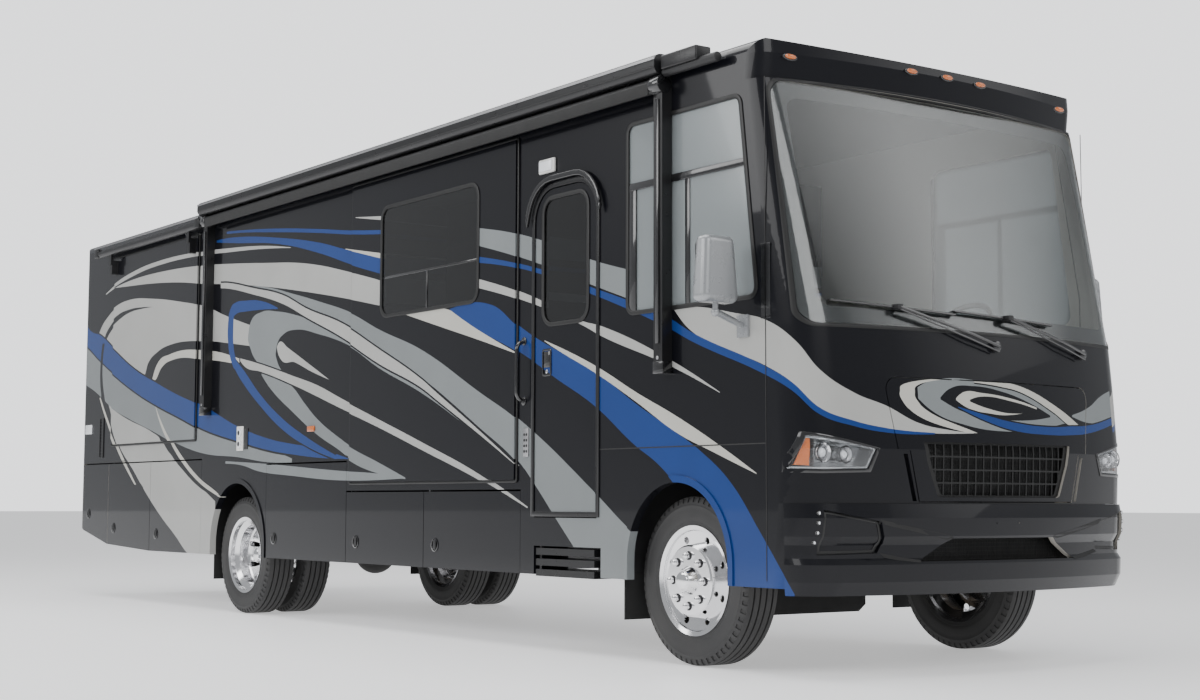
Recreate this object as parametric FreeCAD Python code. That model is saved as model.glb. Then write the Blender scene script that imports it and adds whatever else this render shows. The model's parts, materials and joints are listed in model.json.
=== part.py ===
"""Motorhome: a 10.7 m front-engined coach on a ladder chassis, in millimetres.

Frame: +X forward, +Y to the left, +Z up. The origin is on the ground, under the middle
of the overall length and width. Body stations are given as distances ahead of the front
axle (negative behind it) and turned into X by ahead().
"""
import FreeCAD
import Part
import math
import os

V = FreeCAD.Vector
os.makedirs("parts", exist_ok=True)

# ---------------------------------------------------------------- driving dimensions
LENGTH = 10700.0            # bumper to rear wall
WIDTH = 2578.0              # side wall to side wall
WHEELBASE = 5791.0
FRONT_OVERHANG = 1270.0     # front axle to bumper
WALL_TOP = 3340.0           # ceiling, and the joint between wall and roof
ROOF_EDGE_R = 70.0          # rounding where roof turns into wall
ROOF_CROWN = 50.0           # rise of the roof from its edge to its middle
WALL_T = 45.0               # laminated side wall
CAP_T = 35.0                # moulded front and rear caps
FLOOR_TOP = 1060.0          # living room and cab
REAR_FLOOR_TOP = 1340.0     # raised floor over the rear axle
FLOOR_T = 60.0
FLOOR_STEP = -3870.0        # where the floor steps up
SKIRT = 465.0               # bottom of skirts and luggage doors
PANEL_GAP = 3.0             # half of each gap between shut panels
RUN_CLEAR = 6.0             # clearance round anything that slides or swings
SEAT_GAP = 0.3              # between a moving piece and what carries it

TYRE_R = 473.5
TYRE_W = 245.0
RIM_R = 292.0               # bead seat radius of the wheel
RIM_W = 210.0
FRONT_RIM_FACE = 1170.0     # |Y| of the front wheel's outer flange
REAR_RIM_FACE = 1212.0      # |Y| of the rear outer wheel's outer flange
DISC_OFFSET = 160.0         # wheel centre to its mounting face
DUAL_SPACING = 2 * DISC_OFFSET
FLANGE = 16.0               # rim flange above the bead seat
FLANGE_W = 8.0
KINGPIN_Y = 960.0
AXLE_Z = TYRE_R

RAIL_OUTER = 430.0          # |Y| of the frame rails' outer faces
RAIL_W = 75.0
RAIL_H = 240.0
RAIL_TOP = 860.0
RAIL_WEB = 9.0

DOOR_T = 40.0               # luggage doors
SLIDE_PROUD = 20.0          # how far a slide-out's face stands off the wall
SLIDE_LIP = 50.0            # overlap of that face on the wall
SLIDE_WALL = 40.0
GLASS_T = 6.0

HALF_W = WIDTH / 2
WALL_IN = HALF_W - WALL_T
X_FRONT = LENGTH / 2 - FRONT_OVERHANG
X_REAR = X_FRONT - WHEELBASE
X_TAIL = -LENGTH / 2
CAP_SEAM = 760.0            # wall meets front cap, up to the height below
SEAM_BEND = 2150.0          # above it the seam leans back with the windscreen
CAP_SEAM_TOP = 560.0        # where the leaning seam reaches the roof
CAP_ROOF_SEAM = 440.0       # roof meets front cap
REAR_SEAM = X_TAIL + 100.0  # walls and roof meet rear cap, in X


def ahead(distance):
    """X of a station that lies this far ahead of the front axle."""
    return X_FRONT + distance


# ---------------------------------------------------------------- small makers
def box(x0, x1, y0, y1, z0, z1):
    return Part.makeBox(x1 - x0, y1 - y0, z1 - z0, V(x0, y0, z0))


def both_sides(shape):
    """The shape and its mirror image across the centre plane."""
    return [shape, mirrored(shape)]


def mirrored(shape):
    return shape.mirror(V(0, 0, 0), V(0, 1, 0))


def fuse(shapes):
    first, *rest = shapes
    return first.fuse(rest).removeSplitter() if rest else first


def prism_y(points, y0, y1):
    """A polygon of (x, z) points, pulled from y0 to y1."""
    wire = Part.makePolygon([V(x, y0, z) for x, z in points] + [V(points[0][0], y0, points[0][1])])
    return Part.Face(wire).extrude(V(0, y1 - y0, 0))


def prism_x(points, x0, x1):
    """A polygon of (y, z) points, pulled from x0 to x1."""
    wire = Part.makePolygon([V(x0, y, z) for y, z in points] + [V(x0, points[0][0], points[0][1])])
    return Part.Face(wire).extrude(V(x1 - x0, 0, 0))


def prism_z(points, z0, z1):
    """A polygon of (x, y) points, pulled from z0 to z1."""
    wire = Part.makePolygon([V(x, y, z0) for x, y in points] + [V(points[0][0], points[0][1], z0)])
    return Part.Face(wire).extrude(V(0, 0, z1 - z0))


def round_edges(shape, radius, direction):
    """Fillet every straight edge that runs along the direction."""
    chosen = []
    for edge in shape.Edges:
        if len(edge.Vertexes) == 2:
            run = edge.Vertexes[1].Point - edge.Vertexes[0].Point
            if run.Length > 1e-6 and run.normalize().cross(direction).Length < 1e-6:
                chosen.append(edge)
    return shape.makeFillet(radius, chosen)


def panel(x0, x1, z0, z1, y0, y1, radius=0.0):
    """An upright plate across Y, with rounded corners."""
    plate = box(x0, x1, min(y0, y1), max(y0, y1), z0, z1)
    return round_edges(plate, radius, V(0, 1, 0)) if radius else plate


def rod(start, end, radius):
    run = V(*end) - V(*start)
    return Part.makeCylinder(radius, run.Length, V(*start), run)


def revolve_y(points, x, z):
    """A closed (radius, y) outline turned about the line through (x, z) along Y."""
    wire = Part.makePolygon([V(x, y, z + r) for r, y in points + points[:1]])
    return Part.Face(wire).revolve(V(x, 0, z), V(0, 1, 0), 360)


def export(name, *shapes):
    solids = [solid for shape in shapes for solid in shape.Solids]
    Part.makeCompound(solids).exportStep("parts/" + name + ".step")


# ---------------------------------------------------------------- the body's outer form
# Plan sections of the nose: height, most forward point on the centre line, radius of the
# front curve, radius of the corner into the side.
NOSE_LEVELS = [
    (SKIRT, 1190.0, 4600.0, 260.0),
    (905.0, 1238.0, 4600.0, 260.0),
    (1190.0, 1250.0, 4600.0, 260.0),
    (1572.0, 1222.0, 4600.0, 260.0),
    (1838.0, 1195.0, 4600.0, 255.0),
    (3190.0, 815.0, 9000.0, 120.0),
]
BROW_LEVELS = [
    (3190.0, 846.0, 5500.0, 120.0),
    (3330.0, 862.0, 5500.0, 120.0),
    (3480.0, 850.0, 5500.0, 120.0),
]
BUMPER_TOP = 905.0
BUMPER_LEVELS = [
    (430.0, 1208.0, 4600.0, 250.0),
    (500.0, 1250.0, 4600.0, 258.0),
    (590.0, 1256.0, 4600.0, 260.0),
    (622.0, 1228.0, 4600.0, 250.0),
    (690.0, 1230.0, 4600.0, 250.0),
    (735.0, 1262.0, 4600.0, 262.0),
    (830.0, 1270.0, 4600.0, 262.0),
    (BUMPER_TOP - SEAT_GAP, 1254.0, 4600.0, 262.0),
]
BUMPER_MOUTH = [(400.0, 722.0), (612.0, 604.0)]
# Recess in each end of the bumper, where the marker strip sits
BUMPER_POCKET = [(1185.0, 872.0), (872.0, 812.0), (842.0, 700.0), (872.0, 648.0), (1200.0, 640.0)]
POCKET_DEPTH = 20.0
PLATE_HOLES = {"y": 89.0, "z": 802.0, "r": 4.0}
NOSE_BACK = 100.0           # how far back the nose sections start
BUMPER_BACK = 890.0         # where the bumper ends on the side


def plan_wire(level, inset):
    """One plan section, moved in by inset: two sides, two corner arcs, one front arc."""
    z, nose, front_r, corner_r = level
    half = HALF_W - inset
    front_r = front_r - inset
    corner_r = max(corner_r - inset, 20.0)
    centre_x = ahead(nose - inset - front_r)
    corner_y = half - corner_r
    corner_x = centre_x + math.sqrt((front_r - corner_r) ** 2 - corner_y ** 2)
    start = math.atan2(corner_y, corner_x - centre_x)
    middle = (start + math.pi / 2) / 2
    back = ahead(NOSE_BACK)
    shoulder = (centre_x + front_r * math.cos(start), front_r * math.sin(start))
    bend = (corner_x + corner_r * math.cos(middle), corner_y + corner_r * math.sin(middle))
    tip = ahead(nose - inset)

    def at(x, y):
        return V(x, y, z)

    edges = [
        Part.LineSegment(at(back, -half), at(corner_x, -half)),
        Part.Arc(at(corner_x, -half), at(bend[0], -bend[1]), at(shoulder[0], -shoulder[1])),
        Part.Arc(at(shoulder[0], -shoulder[1]), at(tip, 0), at(shoulder[0], shoulder[1])),
        Part.Arc(at(shoulder[0], shoulder[1]), at(bend[0], bend[1]), at(corner_x, half)),
        Part.LineSegment(at(corner_x, half), at(back, half)),
        Part.LineSegment(at(back, half), at(back, -half)),
    ]
    return Part.Wire([edge.toShape() for edge in edges])


def nose_block(levels, inset=0.0):
    """A solid through the plan sections, straight from each to the next."""
    return Part.makeLoft([plan_wire(level, inset) for level in levels], True, True)


def roof_outline(x0, x1, bottom, inset=0.0):
    """The roof's cross-section: round edges and a gentle crown, pulled from x0 to x1."""
    half = HALF_W - inset
    radius = ROOF_EDGE_R - inset
    edge_top = WALL_TOP + radius
    flat = half - radius
    corner = radius * math.sqrt(0.5)
    points = {
        "low": V(x0, half, bottom),
        "side": V(x0, half, WALL_TOP),
        "bend": V(x0, flat + corner, WALL_TOP + corner),
        "edge": V(x0, flat, edge_top),
        "crown": V(x0, 0, edge_top + ROOF_CROWN),
    }

    def other(name):
        return V(x0, -points[name].y, points[name].z)

    edges = [
        Part.Arc(points["side"], points["bend"], points["edge"]),
        Part.Arc(points["edge"], points["crown"], other("edge")),
        Part.Arc(other("edge"), other("bend"), other("side")),
        Part.LineSegment(other("low"), points["low"]),
    ]
    if bottom < WALL_TOP:
        edges.insert(3, Part.LineSegment(other("side"), other("low")))
        edges.append(Part.LineSegment(points["low"], points["side"]))
    return Part.Face(Part.Wire([edge.toShape() for edge in edges])).extrude(V(x1 - x0, 0, 0))


def nose_outer(inset=0.0):
    return nose_block(NOSE_LEVELS, inset)


# ---------------------------------------------------------------- openings in the body
WINDSCREEN = {"low": 1842.0, "high": 3178.0, "half_low": 1240.0, "half_high": 1228.0, "r": 90.0}
HOOD_OUTLINE = [(819.0, 1572.0), (753.0, 1190.0), (676.0, 1183.0), (612.0, 912.0)]
HOOD_CORNER_R = 70.0        # rounded, so that the hood's top corners clear the cap as it opens
SLOT_OUTLINE = [(690.0, 1166.0), (716.0, 1166.0), (652.0, 919.0), (626.0, 919.0)]
GRILLE_OUTLINE = [(585.0, 1232.0), (560.0, 1120.0), (490.0, 950.0), (470.0, 940.0)]
GRILLE_SET_BACK = 16.0
GRILLE_T = 8.0
GRILLE_BAR = 9.0
GRILLE_PITCH = 58.0
LAMP_OUTLINE = [(885.0, 1188.0), (1165.0, 1242.0), (1242.0, 1256.0), (1286.0, 1086.0),
                (1180.0, 1082.0), (935.0, 1088.0)]
LAMP_DEPTH = 120.0
LENS_T = 4.0
LAMP_WALL = 8.0
# Bowls behind the lamp cover: |Y|, height, radius
LAMP_BOWLS = [(1160.0, 1168.0, 50.0), (1045.0, 1158.0, 44.0)]
LAMP_BOWL_DEEP = 48.0


def lamp_floor_x(y):
    """Station of the housing's back wall at this |Y|, on the nose's front arc."""
    _, nose, front_r, _ = NOSE_LEVELS[2]
    return nose - LAMP_DEPTH + 4 - front_r + math.sqrt(front_r ** 2 - y ** 2)


def symmetric(outline):
    """A (y, z) outline with its mirror image, as one loop."""
    return outline + [(-y, z) for y, z in reversed(outline)]


def hood_prism(shrink=0.0):
    """The hood's outline seen from the front, smaller by shrink, pulled through the nose."""
    (y0, z0), (y1, z1), (y2, z2), (y3, z3) = HOOD_OUTLINE
    outline = [(y0 - shrink, z0 - shrink), (y1 - shrink, z1), (y2 - shrink, z2), (y3 - shrink, z3 + shrink)]
    block = prism_x(symmetric(outline), ahead(900), ahead(1400))
    top = [edge for edge in block.Edges if edge.Length > 400 and edge.BoundBox.ZMin > z0 - shrink - 1
           and edge.BoundBox.YLength < 1]
    return block.makeFillet(HOOD_CORNER_R - shrink, top)


def windscreen_prism(margin=0.0):
    glass = WINDSCREEN
    outline = [(glass["half_low"] + margin, glass["low"] - margin),
               (glass["half_high"] + margin, glass["high"] + margin)]
    block = prism_x(symmetric(outline), ahead(500), ahead(1400))
    return round_edges(block, glass["r"], V(1, 0, 0))


# Side windows: name, back, front, sill, head, corner radius, front edge's lean
CAB_WINDOW = {"x0": -460.0, "x1": 700.0, "z0": 2000.0, "z1": 3120.0, "lean": 140.0, "r": 60.0}
ENTRY = {"x0": -1420.0, "x1": -770.0, "z0": 820.0, "z1": 2850.0, "r": 200.0}
ENTRY_WINDOW = {"x0": -1340.0, "x1": -850.0, "z0": 2000.0, "z1": 2800.0, "r": 100.0}
LEFT_WINDOWS = [
    # back, front, sill, head
    (-8300.0, -7200.0, 2100.0, 2880.0),
    (-5100.0, -4500.0, 2350.0, 2880.0),
]
WINDOW_R = 90.0
# Slide-outs: side (-1 right, +1 left), back, front, bottom, top, window (back, front, sill, head)
SLIDES = {
    "galley_slide": (-1, -3830.0, -1630.0, 1050.0, 3220.0, (-3380.0, -2070.0, 2220.0, 3010.0)),
    "bedroom_slide": (-1, -8600.0, -6650.0, 1440.0, 3200.0, None),
    "sofa_slide": (1, -3830.0, -1480.0, 1050.0, 3220.0, (-3300.0, -2000.0, 2220.0, 3010.0)),
}
SLIDE_DEPTH = 760.0

# Wheel arches in the skirt: station, half width, top, corner rounding
ARCHES = {
    "front": (0.0, 490.0, 1060.0),
    "rear": (-WHEELBASE, 540.0, 1095.0),
}
LIP_W = 40.0                # rolled edge of an arch, inside its opening
LIP_PROUD = 9.0
# Inner wheel houses: station, half length, top, inner |Y|
HOUSES = {
    "front": (0.0, 545.0, 1120.0, 600.0),
    "rear": (-WHEELBASE, 536.0, 1140.0, 600.0),
}
HOUSE_T = 8.0


def cab_window_prism(y0, y1, margin=0.0):
    w = CAB_WINDOW
    outline = [(ahead(w["x0"] - margin), w["z0"] - margin),
               (ahead(w["x1"] + margin), w["z0"] - margin),
               (ahead(w["x1"] - w["lean"] + margin), w["z1"] + margin),
               (ahead(w["x0"] - margin), w["z1"] + margin)]
    return round_edges(prism_y(outline, y0, y1), w["r"], V(0, 1, 0))


def arch_prism(name, y0, y1, grow=0.0):
    """The arch's opening: a half circle on straight sides down past the skirt."""
    station, half, top = ARCHES[name]
    radius = half + grow
    centre_z = top - half
    arch = Part.makeCylinder(radius, y1 - y0, V(ahead(station), y0, centre_z), V(0, 1, 0))
    legs = box(ahead(station) - radius, ahead(station) + radius, y0, y1, 0, centre_z)
    return arch.fuse(legs).removeSplitter()


# ---------------------------------------------------------------- walls, roof and caps
# Bottom edge of each side wall: front end of the stretch, height of the edge
RIGHT_WALL_FOOT = [(-6510.0, 1268.0), (-5250.0, 1238.0), (-3900.0, 1208.0), (-1580.0, 988.0),
                   (-720.0, 640.0), (CAP_SEAM, 1220.0)]
LEFT_WALL_FOOT = [(-6510.0, 1268.0), (-5250.0, 1238.0), (-3900.0, 1208.0), (-1420.0, 988.0),
                  (CAP_SEAM, 1220.0)]


def wall_blank(foot):
    """A side wall's outline from its stepped bottom edge, as a plate on the right side."""
    points = [(REAR_SEAM, WALL_TOP)]
    x = REAR_SEAM
    for end, height in foot:
        points += [(x, height), (ahead(end), height)]
        x = ahead(end)
    points += [(x, SEAM_BEND), (ahead(CAP_SEAM_TOP), WALL_TOP)]
    return prism_y(points, -HALF_W, -WALL_IN)


def slide_opening(name):
    side, x0, x1, z0, z1, _ = SLIDES[name]
    lip = SLIDE_LIP - RUN_CLEAR
    y0, y1 = sorted((side * (HALF_W + 1), side * (WALL_IN - 1)))
    return box(ahead(x0 + lip), ahead(x1 - lip), y0, y1, z0 + lip, z1 - lip)


def right_side_wall():
    wall = wall_blank(RIGHT_WALL_FOOT)
    door = panel(ahead(ENTRY["x0"]) - RUN_CLEAR, ahead(ENTRY["x1"]) + RUN_CLEAR,
                 ENTRY["z0"] - RUN_CLEAR, ENTRY["z1"] + RUN_CLEAR,
                 -HALF_W - 1, -WALL_IN + 1, ENTRY["r"])
    square_foot = box(ahead(ENTRY["x0"]) - RUN_CLEAR, ahead(ENTRY["x1"]) + RUN_CLEAR,
                      -HALF_W - 1, -WALL_IN + 1, ENTRY["z0"] - RUN_CLEAR, ENTRY["z0"] + ENTRY["r"])
    cuts = [door, square_foot, cab_window_prism(-HALF_W - 1, -WALL_IN + 1)]
    cuts += [slide_opening("galley_slide"), slide_opening("bedroom_slide")]
    return wall.cut(cuts)


def left_side_wall():
    wall = mirrored(wall_blank(LEFT_WALL_FOOT))
    cuts = [cab_window_prism(WALL_IN - 1, HALF_W + 1), slide_opening("sofa_slide")]
    for x0, x1, z0, z1 in LEFT_WINDOWS:
        cuts.append(panel(ahead(x0), ahead(x1), z0, z1, WALL_IN - 1, HALF_W + 1, WINDOW_R))
    return wall.cut(cuts)


def roof():
    return roof_outline(REAR_SEAM, ahead(CAP_ROOF_SEAM), WALL_TOP)


def front_cap():
    """Nose, windscreen surround and brow as one moulding, open to the cabin."""
    nose = nose_outer().fuse(nose_block(BROW_LEVELS))
    nose = nose.common(roof_outline(ahead(NOSE_BACK), ahead(1400), 0))
    inner = nose_block(NOSE_LEVELS + [(WALL_TOP, 773.0, 9000.0, 120.0)], CAP_T)
    keep_front = prism_y([(ahead(CAP_SEAM), SKIRT), (ahead(1400), SKIRT), (ahead(1400), WALL_TOP),
                          (ahead(CAP_SEAM_TOP), WALL_TOP), (ahead(CAP_SEAM), SEAM_BEND)], -HALF_W, HALF_W)
    keep_roof = box(ahead(CAP_ROOF_SEAM), ahead(1400), -HALF_W, HALF_W, WALL_TOP, 3600)
    shell = nose.cut(inner).common(keep_front.fuse(keep_roof))
    slope = prism_y([(ahead(CAP_ROOF_SEAM), 3466.0), (ahead(1000), 3345.0), (ahead(1000), 3700.0),
                     (ahead(CAP_ROOF_SEAM), 3700.0)], -HALF_W - 1, HALF_W + 1)
    cuts = [slope, windscreen_prism()]
    cuts.append(hood_prism())
    for sign in (-1, 1):
        cuts.append(prism_x([(sign * y, z) for y, z in SLOT_OUTLINE], ahead(900), ahead(1400)))
        cuts.append(prism_x([(sign * y, z) for y, z in LAMP_OUTLINE], ahead(900), ahead(1400)))
    cuts.append(box(ahead(BUMPER_BACK), ahead(1400), -HALF_W - 1, HALF_W + 1, 0, BUMPER_TOP))
    return shell.cut(cuts)


def windscreen():
    skin = nose_outer(4.0).cut(nose_outer(4.0 + 8.0))
    return skin.common(windscreen_prism(-SEAT_GAP))


def rear_plan(inset, z0, z1):
    """The rear cap's plan: two rounded corners, pulled from z0 to z1."""
    plate = box(X_TAIL + inset, REAR_SEAM + 300, -HALF_W + inset, HALF_W - inset, z0, z1)
    corners = [edge for edge in plate.Edges
               if all(abs(vertex.X - X_TAIL - inset) < 1 for vertex in edge.Vertexes)
               and abs(edge.Vertexes[0].Y - edge.Vertexes[1].Y) < 1]
    return plate.makeFillet(95.0 - inset, corners)


TAIL_SKIRT = 640.0          # bottom of the rear cap
TAIL_LAMP = {"y0": 1010.0, "y1": 1150.0, "z0": 1080.0, "z1": 1560.0, "depth": 22.0}
PLATE = {"half": 160.0, "z0": 820.0, "z1": 985.0, "depth": 12.0}


def rear_cap():
    outer = rear_plan(0, TAIL_SKIRT, 3500).common(roof_outline(X_TAIL, REAR_SEAM, 0))
    outer = outer.common(box(X_TAIL, REAR_SEAM, -HALF_W, HALF_W, 0, 3600))
    shell = outer.cut(rear_plan(CAP_T, TAIL_SKIRT - 1, WALL_TOP))
    lamps = [box(X_TAIL - 1, X_TAIL + TAIL_LAMP["depth"], TAIL_LAMP["y0"], TAIL_LAMP["y1"],
                 TAIL_LAMP["z0"], TAIL_LAMP["z1"])]
    plate = box(X_TAIL - 1, X_TAIL + PLATE["depth"], -PLATE["half"], PLATE["half"], PLATE["z0"], PLATE["z1"])
    return shell.cut(lamps + [mirrored(lamps[0]), plate])


def tail_lights():
    lamp = box(X_TAIL + 2, X_TAIL + TAIL_LAMP["depth"], TAIL_LAMP["y0"], TAIL_LAMP["y1"],
               TAIL_LAMP["z0"], TAIL_LAMP["z1"])
    return both_sides(lamp)


def arch_lip(name):
    """The rolled edge round an arch, a little proud of the skirt."""
    y0, y1 = -HALF_W - LIP_PROUD, -WALL_IN
    ring = arch_prism(name, y0, y1).cut(arch_prism(name, y0 - 1, y1 + 1, -LIP_W))
    return ring.common(box(-LENGTH, LENGTH, y0, y1, SKIRT, 2000))


def fenders():
    """Skirt panels round the wheels, with their arches cut."""
    front = box(ahead(-720.0), ahead(CAP_SEAM), -HALF_W, -WALL_IN, SKIRT, 1220.0)
    left_front = box(ahead(-1420.0), ahead(CAP_SEAM), -HALF_W, -WALL_IN, SKIRT, 1220.0)
    left_top = box(ahead(-1420.0), ahead(-720.0), -HALF_W, -WALL_IN, SKIRT, 1220.0)
    rear = box(ahead(-6510.0), ahead(-5250.0), -HALF_W, -WALL_IN, SKIRT, 1238.0)
    post = box(ahead(-1580.0), ahead(-1426.0), -HALF_W, -WALL_IN, SKIRT, 640.0)
    front = front.cut(arch_prism("front", -HALF_W - 1, -WALL_IN + 1)).fuse(arch_lip("front"))
    left_front = left_front.fuse(left_top).cut(arch_prism("front", -HALF_W - 1, -WALL_IN + 1))
    left_front = left_front.fuse(arch_lip("front"))
    rear = rear.cut(arch_prism("rear", -HALF_W - 1, -WALL_IN + 1)).fuse(arch_lip("rear"))
    return [front, rear, post, mirrored(left_front.removeSplitter()), mirrored(rear)]


def wheel_houses():
    shells = []
    for name, (station, half, top, inner) in HOUSES.items():
        x0, x1 = ahead(station) - half, ahead(station) + half
        floor = SKIRT + 40
        shell = box(x0, x1, -WALL_IN, -inner, floor, top)
        hollow = box(x0 + HOUSE_T, x1 - HOUSE_T, -WALL_IN - 1, -inner + 1, floor - 1, top - HOUSE_T)
        shell = shell.cut(hollow)
        if name == "front":
            shell = shell.common(box(x0, ahead(CAP_SEAM), -HALF_W, 0, floor, top))
        shells += both_sides(shell)
    return shells


# ---------------------------------------------------------------- floor and luggage bays
# Luggage doors: back, front, bottom at the back, bottom at the front, top
RIGHT_DOORS = {
    "right_bay_door_1": (-9330.0, -8670.0, 632.0, 505.0, 1260.0),
    "right_bay_door_2": (-8670.0, -7640.0, 505.0, SKIRT, 1260.0),
    "right_bay_door_3": (-7640.0, -6510.0, SKIRT, SKIRT, 1260.0),
    "right_bay_door_4": (-5250.0, -3900.0, SKIRT, SKIRT, 1200.0),
    "right_bay_door_5": (-3900.0, -2780.0, SKIRT, SKIRT, 980.0),
    "right_bay_door_6": (-2780.0, -1580.0, SKIRT, SKIRT, 980.0),
}
LEFT_DOORS = {
    "left_bay_door_1": (-9330.0, -7920.0, 632.0, SKIRT, 1260.0),
    "left_bay_door_2": (-7920.0, -6510.0, SKIRT, SKIRT, 1260.0),
    "left_bay_door_3": (-5250.0, -3900.0, SKIRT, SKIRT, 1200.0),
    "left_bay_door_4": (-3900.0, -2660.0, SKIRT, SKIRT, 980.0),
    "left_bay_door_5": (-2660.0, -1420.0, SKIRT, SKIRT, 980.0),
}
# Cup for the paddle latch: from the door's rear edge, above its bottom, radius, depth
LATCH = {"in": 150.0, "up": 155.0, "r": 42.0, "deep": 9.0}
BAY_INNER = RAIL_OUTER + 20.0
BAY_T = 8.0


def bay_door(row):
    """One luggage door, on the right side: a flat plate with a sloping foot at the tail."""
    x0, x1, low_back, low_front, top = row
    g = PANEL_GAP
    points = [(ahead(x0 + g), low_back), (ahead(x1 - g), low_front),
              (ahead(x1 - g), top - g), (ahead(x0 + g), top - g)]
    plate = prism_y(points, -HALF_W, -HALF_W + DOOR_T)
    hinge_low = max(low_back, low_front) + 40.0
    flange = box(ahead(x1 - g - 6), ahead(x1 - g), -HALF_W + DOOR_T,
                 -HALF_W + DOOR_T + RUN_CLEAR - SEAT_GAP, hinge_low, min(top, 990.0) - 20.0)
    latch = rod((ahead(x0 + LATCH["in"]), -HALF_W - 1, low_back + LATCH["up"]),
                (ahead(x0 + LATCH["in"]), -HALF_W + LATCH["deep"], low_back + LATCH["up"]), LATCH["r"])
    return plate.fuse(flange).cut(latch)


def bay_group(doors):
    """One run of luggage bays behind neighbouring doors: floors, partitions and inner wall."""
    outer_y = -HALF_W + DOOR_T + RUN_CLEAR
    pieces = []
    for x0, x1, low_back, low_front, top in doors:
        floor_z = max(low_back, low_front) + 20.0
        roof_z = (REAR_FLOOR_TOP if x1 <= FLOOR_STEP else FLOOR_TOP) - FLOOR_T
        cell = box(ahead(x0), ahead(x1), outer_y, -BAY_INNER, floor_z, roof_z)
        hollow = box(ahead(x0) + BAY_T, ahead(x1) - BAY_T, outer_y - 1, -BAY_INNER - BAY_T,
                     floor_z + BAY_T, roof_z + 1)
        pieces.append(cell.cut(hollow))
    return fuse(pieces)


def baggage_bays():
    right = list(RIGHT_DOORS.values())
    left = list(LEFT_DOORS.values())
    groups = [bay_group(right[:3]), bay_group(right[3:])]
    groups += [mirrored(bay_group(left[:2])), mirrored(bay_group(left[2:]))]
    return groups


STEP_WELL = {"x0": -1440.0, "x1": -750.0, "inner": 800.0, "z": 780.0, "t": 20.0}


def floor():
    front = box(ahead(FLOOR_STEP), ahead(CAP_SEAM), -WALL_IN, WALL_IN, FLOOR_TOP - FLOOR_T, FLOOR_TOP)
    riser = box(ahead(FLOOR_STEP), ahead(FLOOR_STEP) + FLOOR_T, -WALL_IN, WALL_IN,
                FLOOR_TOP, REAR_FLOOR_TOP)
    rear = box(X_TAIL + CAP_T, ahead(FLOOR_STEP), -WALL_IN, WALL_IN,
               REAR_FLOOR_TOP - FLOOR_T, REAR_FLOOR_TOP)
    link = box(ahead(FLOOR_STEP), ahead(FLOOR_STEP) + FLOOR_T, -WALL_IN, WALL_IN,
               FLOOR_TOP - FLOOR_T, REAR_FLOOR_TOP)
    plate = fuse([front, riser.fuse(link), rear])
    ahead_of_tail = box(REAR_SEAM + 200, ahead(1400), -HALF_W, HALF_W, 0, 2000)
    rounded_tail = rear_plan(CAP_T + SEAT_GAP, 0, 2000).fuse(ahead_of_tail)
    plate = plate.common(rounded_tail)
    cuts = [box(ahead(ENGINE["x0"]) - 30, ahead(CAP_SEAM) + 1, -ENGINE["half"] - 30, ENGINE["half"] + 30,
                0, 2000)]
    cuts.append(box(ahead(STEP_WELL["x0"]), ahead(STEP_WELL["x1"]), -HALF_W, -STEP_WELL["inner"], 0, 2000))
    station, half, _, inner = HOUSES["front"]
    for sign in (-1, 1):
        y0, y1 = sorted((sign * inner, sign * HALF_W))
        cuts.append(box(ahead(station) - half, ahead(station) + half, y0, y1, 0, 2000))
    return fuse([plate.cut(cuts)] + slide_rails())


def slide_rails():
    """Two rails under each slide-out, on the floor, that its floor runs on."""
    rails = []
    for side, x0, x1, bottom, _, _ in SLIDES.values():
        top = bottom + SLIDE_LIP - SEAT_GAP
        base = REAR_FLOOR_TOP if x1 < FLOOR_STEP else FLOOR_TOP
        y0, y1 = sorted((side * (WALL_IN - 10), side * (HALF_W + SLIDE_PROUD - SLIDE_DEPTH + 20)))
        for x in (x0 + 300, x1 - 300):
            rails.append(box(ahead(x) - 30, ahead(x) + 30, y0, y1, base, top))
    return rails


# ---------------------------------------------------------------- chassis
ENGINE = {"x0": -480.0, "x1": 640.0, "half": 290.0, "z0": 600.0, "z1": 1200.0}
# Cross members' stations
MEMBER_H = 120.0
CROSS_MEMBERS = [-9200.0, -8300.0, -7300.0, -6600.0, -4900.0, -3950.0, -2900.0, -1900.0, -900.0, 900.0]


def cross_member(station):
    """A beam between the rails' webs, and the two risers over it that carry the body."""
    x, reach = ahead(station), RAIL_OUTER - RAIL_WEB - SEAT_GAP
    pieces = [box(x - 35, x + 35, -reach, reach, RAIL_TOP - MEMBER_H, RAIL_TOP - RAIL_WEB)]
    floor_z = (REAR_FLOOR_TOP if station < FLOOR_STEP else FLOOR_TOP) - FLOOR_T
    if station < CAP_SEAM - 200:
        riser = box(x - 35, x + 35, -RAIL_OUTER, -RAIL_OUTER + RAIL_W, RAIL_TOP + SEAT_GAP, floor_z)
        pieces += both_sides(riser)
    return pieces


def hitch():
    """The square receiver under its own beam, with the hole for the hitch pin."""
    reach = RAIL_OUTER - RAIL_WEB - SEAT_GAP
    receiver = box(X_TAIL + 20, X_TAIL + 420, -38, 38, 560, 636)
    receiver = receiver.cut(box(X_TAIL + 10, X_TAIL + 300, -25.4, 25.4, 572.6, 623.4))
    pin_hole = rod((X_TAIL + 85, -60, 598), (X_TAIL + 85, 60, 598), 8.0)
    beam = box(X_TAIL + 120, X_TAIL + 200, -reach, reach, 636, 716)
    return receiver.cut(pin_hole).fuse(beam)


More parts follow.
